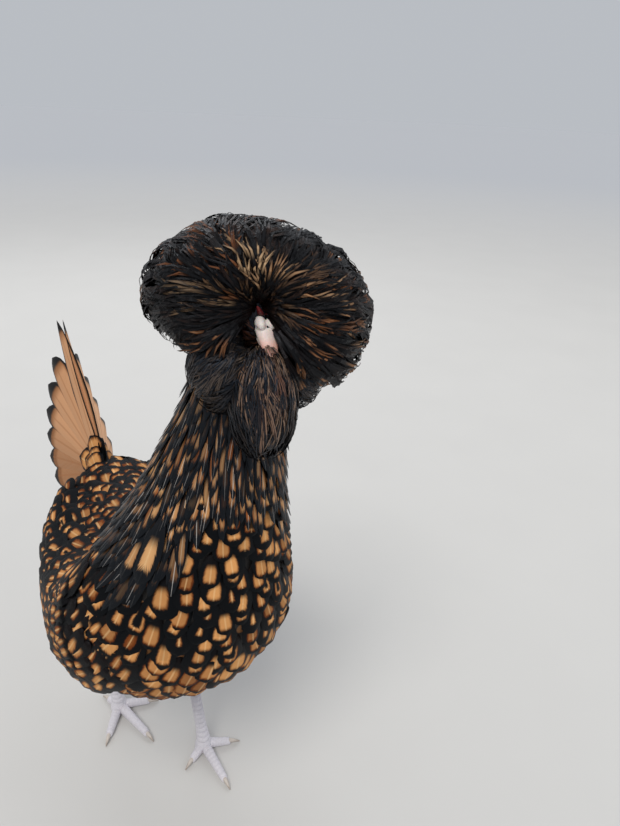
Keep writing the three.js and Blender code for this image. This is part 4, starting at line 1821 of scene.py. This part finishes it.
@dataclass
class HackleCoat:
    """Long narrow feathers down the neck that fan over the shoulders."""

    trunk: Trunk
    apart: float = 4.1
    low: float = 8.9
    high: float = 13.9
    length: tuple[float, float] = (40.0, 54.0)
    width: tuple[float, float] = (5.4, 9.2)

    def feathers(self, seed: int) -> Batch:
        """Lays the feathers.

        Args:
            seed: Start of the random draw.

        Returns:
            The feathers.
        """
        draw = np.random.default_rng(seed)
        station, around = self.trunk.scatter(self.low, self.high, self.apart, draw)
        kept = station > hackle_foot(around) + draw.normal(0, 0.12, len(station))
        station, around = station[kept], around[kept]
        count = len(station)
        front = (1 - np.cos(around)) / 2
        length = draw.uniform(*self.length, count)
        length = length * (1 - 0.25 * front) * (1 - 0.12 * ease(12, 13.8, station))
        width = draw.uniform(*self.width, count) * (1 - 0.38 * ease(10.5, 12.8, station))
        shaft = HACKLE_VANE.shaft
        rise = -4.5 + 6.2 * shaft ** 0.7
        lift = rise[None] + draw.normal(0, 0.5, (count, 1))
        lift = lift + draw.uniform(0, 1.0, (count, 1)) * shaft ** 2
        sway = draw.normal(0, 0.06, count)
        right = ease(0.45, 0.8, np.cos(around - math.radians(-92)))
        fan = right * ease(11.2, 10.3, station)
        mark = 0.25 + 0.75 * ease(13.2, 10.8, station) * draw.uniform(0.6, 1.0, count)
        mark = mark * (1 - 0.85 * fan) * np.where(draw.uniform(0, 1, count) < 0.2, 0.1, 1.0)
        warm = 0.45 + draw.normal(0, 0.2, count)
        dye = dyes(draw.uniform(0, 1, count), mark, warm)
        return self.trunk.laid(HACKLE_VANE, station, around, length, width, sway, lift, dye)

    def big_feathers(self) -> Batch:
        """Lays the two big gold-centred feathers on the right shoulder.

        Returns:
            The feathers.
        """
        lift = (-1.5 + 5.6 * BODY_VANE.shaft ** 0.6)[None] + np.array([[1.2], [0.2]])
        return self.trunk.laid(
            BODY_VANE, station=np.array([10.5, 10.1]), around=np.radians([-106.0, -93.0]),
            length=np.array([46.0, 38.0]), width=np.array([15.0, 10.0]), sway=np.zeros(2), lift=lift,
            dye=np.array([[0.3, 1.0, 0.1], [0.4, 0.8, 0.3]]))


@dataclass(frozen=True)
class WingTier:
    """One row of a wing's feathers, by angle from the back in degrees."""

    count: int
    station: tuple[float, float]
    angle: tuple[float, float]
    length: float
    width: float
    lift: float
    sway: float
    mark: float


@dataclass
class Wing:
    """One folded wing: flight feathers and coverts in tiers over the flank."""

    trunk: Trunk
    side: Side
    quill_length: float = 60.0
    tiers: tuple[WingTier, ...] = (
        WingTier(4, (4.5, 4.2), (106, 122), 97, 15, 1.3, -20, 0.68),
        WingTier(11, (5.0, 4.8), (56, 111), 86, 17, 1.9, -9, 0.76),
        WingTier(10, (5.2, 5.1), (56, 112), 50, 18, 2.7, -5, 0.74),
        WingTier(10, (5.55, 5.45), (57, 113), 42, 18, 3.2, -4, 0.72),
        WingTier(10, (5.9, 5.8), (58, 114), 36, 18, 3.9, -3, 0.7),
        WingTier(10, (6.25, 6.15), (58, 114), 31, 17, 4.5, -2, 0.7),
        WingTier(9, (6.6, 6.5), (60, 112), 28, 17, 5.0, -2, 0.72),
        WingTier(9, (6.95, 6.85), (60, 110), 26, 16, 5.3, -1, 0.72),
        WingTier(8, (7.3, 7.2), (62, 108), 24, 16, 5.3, 0, 0.72),
    )

    def feathers(self, seed: int) -> list[Batch]:
        """Lays the feathers.

        Args:
            seed: Start of the random draw.

        Returns:
            The tiers.
        """
        draw = np.random.default_rng(seed)
        found = []
        for tier in self.tiers:
            shape = QUILL_VANE if tier.length > self.quill_length else BODY_VANE
            count, shaft = tier.count, shape.shaft
            share = np.linspace(0, 1, count)
            station, angle = (low + (high - low) * share for low, high in (tier.station, tier.angle))
            station = station + draw.normal(0, 0.03, count)
            around = self.side.value * np.radians(angle + draw.normal(0, 0.8, count))
            edge = -1.6 + (tier.lift + 1.6) * ease(0.0, 0.4, shaft) - 0.5 * shaft ** 3
            lift = edge[None] + 0.22 * np.arange(count)[::-1, None] * (0.3 + 0.7 * shaft)[None] / 2
            length = tier.length * draw.uniform(0.95, 1.05, count)
            sway = np.full(count, self.side.value * math.radians(tier.sway))
            mark = tier.mark + draw.normal(0, 0.08, count)
            # Painted shade: a warmth of 0.5 deepens the wing's gold as if in shade.
            dye = dyes(draw.uniform(0, 1, count), mark, 0.5 + draw.normal(0, 0.14, count))
            width = tier.width * draw.uniform(0.95, 1.08, count)
            found.append(self.trunk.laid(shape, station, around, length, width, sway, lift, dye))
        return found


@dataclass
class Tail:
    """An upright tent of main feathers under a ridge, with laced coverts at its foot."""

    root: Place = (0.0, 124.0, 224.0)
    count: int = 7
    length: float = 163.0
    shortening: float = 0.38
    width: float = 31.0
    high: float = 45.5
    fan: float = 68.0
    roof: float = 21.4
    slant: float = -0.4
    ridge_out: float = 1.0
    lean: float = -4.0
    layer: float = 0.7
    droop: float = 5.0
    root_drop: float = 7.0
    narrowed: tuple[float, float] = (0.74, 0.95)
    rounding: tuple[float, ...] = (4.0, 2.0)
    rounding_step: float = 11.0
    coverts: tuple[tuple[int, float, float], ...] = ((3, 43.0, 2.6), (4, 34.0, 4.2), (5, 26.0, 5.6))

    def side_feathers(self, side: Side, draw: np.random.Generator) -> list[Batch]:
        """Lays one side of the tent.

        Args:
            side: Which side.
            draw: Random numbers.

        Returns:
            Its rows.
        """
        high, roof = math.radians(self.high), math.radians(self.roof - side.value * self.slant)
        ridge = np.array([0.0, math.cos(high), math.sin(high)])
        down = np.array([0.0, math.sin(high), -math.cos(high)]) * math.cos(roof)
        down = down + np.array([side.value * math.sin(roof), 0.0, 0.0])
        upward = np.array([0.0, -math.sin(high), math.cos(high)])
        face = unit(np.cross(ridge, down)) * -side.value
        foot = np.array(self.root) + np.array([side.value * self.ridge_out + self.lean, 0.0, 0.0])
        share = np.arange(self.count) / (self.count - 1)
        width = self.width * np.array([*self.narrowed, *[1.0] * (self.count - 2)])
        # Painted light and shade: the left slope's main feathers are kept pale as if lit, and the right
        # slope's deepen towards the lower ones as if shaded.
        painted_slope_warmth = 0.36 + 0.5 * share if side is Side.RIGHT else 0.02 + 0.0 * share
        reach = self.length * (1 - self.shortening * share ** 0.55)
        under = -self.layer * np.arange(self.count)
        rows = [(shape, share[part] * self.fan, reach[part], width[part], under[part], 0.08, painted_slope_warmth[part])
                for shape, part in ((TAIL_VANE, slice(0, 1)), (QUILL_VANE, slice(1, None)))]
        for count, length, out in self.coverts:
            part = np.linspace(0, 1, count)
            turn = 3 + 78 * part
            rows.append((BODY_VANE, turn + draw.normal(0, 2, count),
                         length * (1 - 0.2 * np.abs(part - 0.4)) * draw.uniform(0.93, 1.07, count),
                         np.full(count, 15.0 + length * 0.3), out - part, 0.05, 0.2))
        found = []
        for shape, turns, length, width, layer, mark, warm in rows:
            turn = np.radians(turns)[:, None]
            along = ridge * np.cos(turn) + down * np.sin(turn)
            sink = down * np.cos(turn) - ridge * np.sin(turn)
            t = shape.shaft[None, :, None]
            paths = (foot + face * np.asarray(layer)[:, None])[:, None]
            paths = paths + along[:, None] * t * length[:, None, None]
            drop = self.root_drop * (1 - turns / self.fan).clip(0, 1)[:, None, None]
            paths = paths + sink[:, None] * (self.droop * t * t + drop * (1 - t))
            count = len(turns)
            steps = np.arange(len(self.rounding)) * self.rounding_step
            rolls = np.radians(np.interp(turns, steps, self.rounding, right=0.0))
            faces = face * np.cos(rolls)[:, None] + upward * np.sin(rolls)[:, None]
            faces = np.broadcast_to(faces[:, None], paths.shape)
            dye = dyes(draw.uniform(0, 0.7, count), mark + draw.normal(0, 0.04, count),
                       warm + draw.normal(0, 0.08, count))
            base = 0.25 if side is Side.RIGHT else 0.75
            patches = np.stack([base + turns / 400.0, 0.1 + length / 250.0], 1)
            width = width * draw.uniform(0.96, 1.04, count)
            found.append(Batch(shape, paths, faces, width, dye, patches))
        return found


@dataclass
class Studio:
    """The camera at the photograph's angle, soft lights and a pale floor."""

    datum: Datum
    camera: Place = (-129.0, -373.6, 531.4)
    yaw: float = 34.76
    pitch: float = 26.04
    roll: float = 2.85
    focal: float = 620.0
    sensor: float = 36.0
    target: Place = (0.0, 0.0, 0.25)
    sky: tuple[float, ...] = (0.84, 0.88, 0.94, 1.0)
    sky_strength: float = 0.58
    lamps: tuple[tuple[str, str, Place, float, float, Colour], ...] = (
        ("key", "SUN", (-0.8, -0.7, 2.0), 0.5, 1.5, (1.0, 0.97, 0.92)),
        ("fill", "AREA", (1.5, -1.1, 0.9), 1.4, 4.0, (0.93, 0.96, 1.0)),
        ("back", "AREA", (0.4, 1.5, 1.7), 1.0, 9.0, (0.95, 0.97, 1.0)),
    )
    floor_size: float = 80.0
    floor_drop: float = 0.0004

    def set_camera(self) -> None:
        """Places the camera."""
        yaw, pitch, roll = (math.radians(a) for a in (self.yaw, self.pitch, self.roll))
        ahead = Vector((math.sin(yaw) * math.cos(pitch), math.cos(yaw) * math.cos(pitch), -math.sin(pitch)))
        right = Vector((math.cos(yaw), -math.sin(yaw), 0.0))
        up = right.cross(ahead)
        across = right * math.cos(roll) + up * math.sin(roll)
        over = up * math.cos(roll) - right * math.sin(roll)
        data = bpy.data.cameras.new("photo_camera")
        data.sensor_width = self.sensor
        data.lens = self.sensor * self.focal / max(PHOTO)
        data.clip_start = 0.01
        data.clip_end = 100.0
        made = bpy.data.objects.new("photo_camera", data)
        bpy.context.scene.collection.objects.link(made)
        turn = Matrix((across, over, -ahead)).transposed()
        made.matrix_world = Matrix.Translation(self.datum.place(self.camera)) @ turn.to_4x4()
        bpy.context.scene.camera = made

    def add_light(self, name: str, kind: str, place: Place, size: float, power: float,
                  colour: Colour) -> None:
        """Adds a soft lamp that points at the hen.

        Args:
            name: The lamp's name.
            kind: Its kind, an area lamp or a sun.
            place: Its place in metres.
            size: Its width in metres, or the sun's angle in radians.
            power: Its power in watts, or the sun's strength.
            colour: Its colour.
        """
        data = bpy.data.lights.new(name, kind)
        if kind == "SUN":
            data.angle = size
        else:
            data.size = size
        data.energy = power
        data.color = colour
        made = bpy.data.objects.new(name, data)
        bpy.context.scene.collection.objects.link(made)
        made.location = place
        ahead = Vector(self.target) - Vector(place)
        made.rotation_euler = ahead.to_track_quat("-Z", "Y").to_euler()

    def build(self, modeller: Modeller) -> None:
        """Sets up camera, lights and floor.

        Args:
            modeller: What shapes the floor.
        """
        self.set_camera()
        for lamp in self.lamps:
            self.add_light(*lamp)
        world = bpy.data.worlds.new("studio")
        world.use_nodes = True
        background = world.node_tree.nodes["Background"]
        background.inputs["Color"].default_value = self.sky
        background.inputs["Strength"].default_value = self.sky_strength
        bpy.context.scene.world = world
        bpy.context.scene.view_settings.view_transform = "Standard"
        modeller.clear()
        bpy.ops.mesh.primitive_grid_add(x_subdivisions=8, y_subdivisions=8, size=self.floor_size,
                                        location=(0, 0, -self.floor_drop))
        floor = modeller.named("floor")
        floor.data.materials.append(FloorFinish().material())


class Hen:
    """The whole bird."""

    def __init__(self) -> None:
        """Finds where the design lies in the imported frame."""
        self.head = Head()
        low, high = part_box("eye_left")
        seen = np.array((low + high) / 2) / MM
        self.datum = Datum(seen - self.head.place(*self.head.eye))
        self.modeller = Modeller(self.datum)
        self.trunk = Trunk()
        self.hocks = {Side.RIGHT: (-40.0, 76.0, 90.0), Side.LEFT: (17.0, 4.0, 90.0)}
        self.thighs = [Thigh(side, hock) for side, hock in self.hocks.items()]

    def finishes(self) -> dict[str, bpy.types.Material]:
        """Makes the feathers' materials.

        Returns:
            The materials by name.
        """
        bright, short = linear(238, 196, 140), (0.9, 0.12)
        kinds = (
            # Spangled deep gold: the feathers' own deep edge, darkened as well to carry the painted shade of
            # the warmest feathers.
            FeatherFinish("spangled_feather", linear(222, 158, 96), linear(116, 60, 22), linear(5, 4, 4),
                          linear(22, 13, 9), border=(0.16, 0.75), corner=0.25, soft=0.07, wobble=0.36,
                          wedge=0.3, cored=(0.84, 0.90), line=bright, gloss=(0.8, 0.88, 1.0), level=0.16),
            # The hackle's shafts carry the painted highlight, a pale silver glint.
            FeatherFinish("hackle_feather", linear(230, 176, 118), linear(158, 88, 36), linear(6, 6, 8),
                          linear(18, 13, 13), Marking.STREAKED, border=(0.28, 0.42), tip_scale=1.5,
                          wobble=0.4, wedge=0.3, barbs=45.0, line=bright, shaft=0.6, roughness=0.3,
                          gloss=(0.78, 0.87, 1.0)),
            FeatherFinish("crest_feather", linear(214, 178, 136), linear(130, 76, 38), linear(8, 6, 6),
                          linear(26, 16, 12), Marking.STREAKED, tip_scale=5.0, root=0.56, fade=short,
                          barbs=14.0, depth=0.5, roughness=0.34, gloss=(0.86, 0.9, 1.0), level=0.2),
            FeatherFinish("beard_feather", linear(208, 178, 146), linear(112, 66, 42), linear(8, 7, 9),
                          linear(34, 22, 17), Marking.STREAKED, tip_scale=6.0, root=0.1, fade=short,
                          barbs=10.0, depth=0.4, roughness=0.38, gloss=(0.65, 0.78, 1.0), level=0.42,
                          sheen=0.04),
            FeatherFinish("tail_feather", linear(238, 180, 134), linear(150, 100, 62), linear(14, 10, 10),
                          linear(100, 64, 36), border=(0.15, 0.6), soft=0.04, wobble=0.05, root=0.04,
                          depth=0.12, line=linear(170, 112, 70), sheen=0.04),
        )
        return {kind.name: kind.material() for kind in kinds}

    def dress_body(self, made: dict[str, bpy.types.Material]) -> None:
        """Lays the feathers of trunk, neck, wings, thighs and tail.

        Args:
            made: The feathers' materials.
        """
        trunk, hackle = BodyCoat(self.trunk), HackleCoat(self.trunk)
        body = [trunk.feathers(3), *(trunk.shoulder(side, 30 + side.value) for side in Side),
                *(thigh.feathers(40 + k) for k, thigh in enumerate(self.thighs))]
        neck = [hackle.feathers(5), hackle.big_feathers()]
        Coat("body_coat", "body_feathers", body).make(self.datum, made["spangled_feather"], 1)
        Coat("hackle_coat", "hackle_feathers", neck).make(self.datum, made["hackle_feather"], 2)
        for side in Side:
            rows = Wing(self.trunk, side).feathers(60 + side.value)
            wing = Coat(f"wing_{side.word}_coat", "body_feathers", rows, (f"wing_{side.word}",))
            wing.make(self.datum, made["spangled_feather"], 3)
        draw = np.random.default_rng(8)
        rows = [row for side in Side for row in Tail().side_feathers(side, draw)]
        main = [row for row in rows if row.shape is not BODY_VANE]
        cover = [row for row in rows if row.shape is BODY_VANE]
        Coat("tail_coat", "tail_feathers", main, ("tail",)).make(self.datum, made["tail_feather"], 4)
        Coat("tail_cover_coat", "tail_feathers", cover).make(self.datum, made["spangled_feather"], 5)

    def dress_head(self, made: dict[str, bpy.types.Material]) -> None:
        """Lays the crest, beard and muffs.

        Args:
            made: The feathers' materials.
        """
        crest = Plume(
            "crest", "crest_feathers", (44, -67, 428), (66, 55, 49), (-16, 0, 11), (-0.22, -0.93, 0.24), 16,
            dip=0.42, dip_angle=26, flecks=0.06, warm=(0.6, 1.0), clear=0.48, low=-0.74,
            crown=(0.2, 1.3, 2.4),
            dents=(
                ((-0.14, 0.16, 0.98), 13, 0.07),
                ((0.28, 0.06, 0.95), 16, 0.13),
                ((0.71, -0.13, 0.69), 14, 0.08),
                ((-0.82, 0.19, 0.55), 20, 0.07),
                ((-0.98, 0.13, 0.15), 16, 0.07),
                ((-0.89, -0.06, -0.45), 20, 0.06),
                ((-0.72, -0.15, -0.68), 18, 0.18),
                ((0.64, -0.5, -0.57), 18, -0.1),
            ),
            tints=(
                Tint((-0.15, -0.84, 0.52), 30, 0.6, 0.28, 0.5),
                Tint((-0.56, -0.19, 0.81), 26, 0.35, 0.8, 0.95),
                Tint((-0.71, -0.28, 0.65), 22, 0.3, 0.8, 0.9),
                Tint((-0.36, -0.60, 0.71), 10, 0.75, 1.0, 0.0),
                Tint((-0.13, -0.68, 0.72), 7, 0.5, 1.0, 0.4),
                Tint((-0.61, -0.62, 0.50), 5, 0.6, 1.0, 0.3),
                Tint((0.26, -0.82, 0.51), 12, 0.4, 1.0, 0.5),
                Tint((0.51, -0.83, 0.21), 13, 0.35, 1.0, 0.45),
                Tint((-0.70, -0.66, 0.22), 15, 0.85, 0.34, 0.2),
                Tint((0.51, -0.80, -0.31), 24, 0.4, 0.9, 0.6),
                Tint((0.58, -0.65, 0.50), 20, 0.3, 0.8, 0.8),
                Tint((0.46, -0.89, -0.05), 22, 0.45, 0.8, 0.75),
                Tint((0.92, -0.34, 0.18), 8, 0.5, 0.0, 0.5, 0.05),
            ))
        beard = Plume(
            "beard", "beard_feathers", (26, -104, 383), (19, 19, 33), (-14, 0, 0), (0, 0.45, 0.9), 20,
            warm=(0.3, 0.8), tints=(Tint((0.0, -0.66, 0.75), 58, 0.75, 0.75, 0.45),))
        layers = {
            "crest_down_coat": (
                Layer(CREST_VANE, 1150, 1, (10, 14), (30, 42), 0.62, (0.84, 0.92)),
                Layer(STRAND_VANE, 360, 11, (1.4, 2.3), (34, 46), 0.76, (0.93, 1.0), 0.055, 0.07)),
            "crest_coat": (
                Layer(STRAND_VANE, 590, 11, (1.2, 2.1), (34, 50), 0.82, (0.99, 1.06), 0.07, 0.09),),
        }
        for name, chosen in layers.items():
            rows = [crest.feathers(layer, 70 + k + len(name)) for k, layer in enumerate(chosen)]
            coat = Coat(name, crest.slot, rows, ("crest",) if name == "crest_coat" else ())
            coat.make(self.datum, made["crest_feather"], len(name))
        face = Plume(
            "face", "beard_feathers", (38, -72, 427), (18.5, 22.5, 20), (-14, 17, 0), (0, -1, -0.1), 24,
            warm=(0.5, 1.0), flecks=0.1, open=(((0.71, -0.43, 0.02), 19.0), ((-0.71, -0.43, 0.02), 19.0)),
            tints=(Tint((-0.45, -0.8, -0.35), 40, 0.8, 0.8, 0.95),))
        plumes = [beard, face]
        places = ((Side.RIGHT, (11, -83, 399), (18, 21, 23)), (Side.LEFT, (52, -93, 396), (18, 20, 22)))
        for side, at, radii in places:
            plumes.append(Plume(
                f"muff_{side.word}", "beard_feathers", at, radii, (-14, 0, 0),
                (-0.8 * side.value, -0.15, 0.6), 20, mark=(0.0, 0.22), warm=(0.0, 0.2)))
        fringe = (Layer(CREST_VANE, 260, 1, (6, 8), (14, 18), 0.6, (0.84, 0.92)),
                  Layer(STRAND_VANE, 210, 14, (0.6, 1.1), (16, 28), 0.8, (0.95, 1.09), 0.15, 0.1))
        down = (Layer(CREST_VANE, 320, 1, (3.5, 5), (10, 15), 0.94, (0.98, 1.06)),
                Layer(STRAND_VANE, 150, 10, (0.7, 1.1), (9, 15), 0.96, (1.04, 1.16), 0.08, 0.05))
        for k, plume in enumerate(plumes):
            nodes, layers = ((), down) if plume is face else ((plume.name,), fringe)
            rows = [plume.feathers(layer, 90 + k + layer.strands) for layer in layers]
            coat = Coat(f"{plume.name}_coat", plume.slot, rows, nodes)
            coat.make(self.datum, made["beard_feather"], 20 + k)

    def build(self) -> None:
        """Builds every piece in order."""
        Skin(self.trunk, self.head, self.thighs).build(self.modeller)
        Bill(self.head).build(self.modeller)
        for side in Side:
            Eye(self.head, side).build(self.modeller)
        scaly = HornFinish("leg_scales", linear(182, 178, 186), linear(220, 216, 222), (0.0, 0.0, 0.09),
                           (0.0, 0.0, 0.0), roughness=0.5, mottle=220.0)
        claw = HornFinish("claw_horn", linear(206, 196, 186), linear(160, 146, 134), (0.0, 0.0, 0.006),
                          (0.0, 0.0, 0.0), roughness=0.35, mottle=300.0)
        skin, nail = scaly.material(), claw.material()
        feet = (
            (Side.RIGHT, (-34, 63.5, 0),
             {"outer": (-58, 29), "middle": (-19, 10.6), "inner": (1.4, 50.5), "back": (-44, 85)}),
            (Side.LEFT, (18, -17, 0),
             {"outer": (49, -30), "middle": (20, -67), "inner": (-6, -30), "back": (25, 5)}),
        )
        for side, pad, tips in feet:
            Leg(side, self.hocks[side], pad, tips).build(self.modeller, skin, nail)
        made = self.finishes()
        self.dress_body(made)
        self.dress_head(made)


def main() -> None:
    """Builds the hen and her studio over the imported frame."""
    logging.basicConfig(level=logging.INFO, format="%(name)s %(message)s")
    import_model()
    hen = Hen()
    hen.build()
    Studio(hen.datum).build(hen.modeller)
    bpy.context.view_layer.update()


if __name__ == "__main__":
    main()
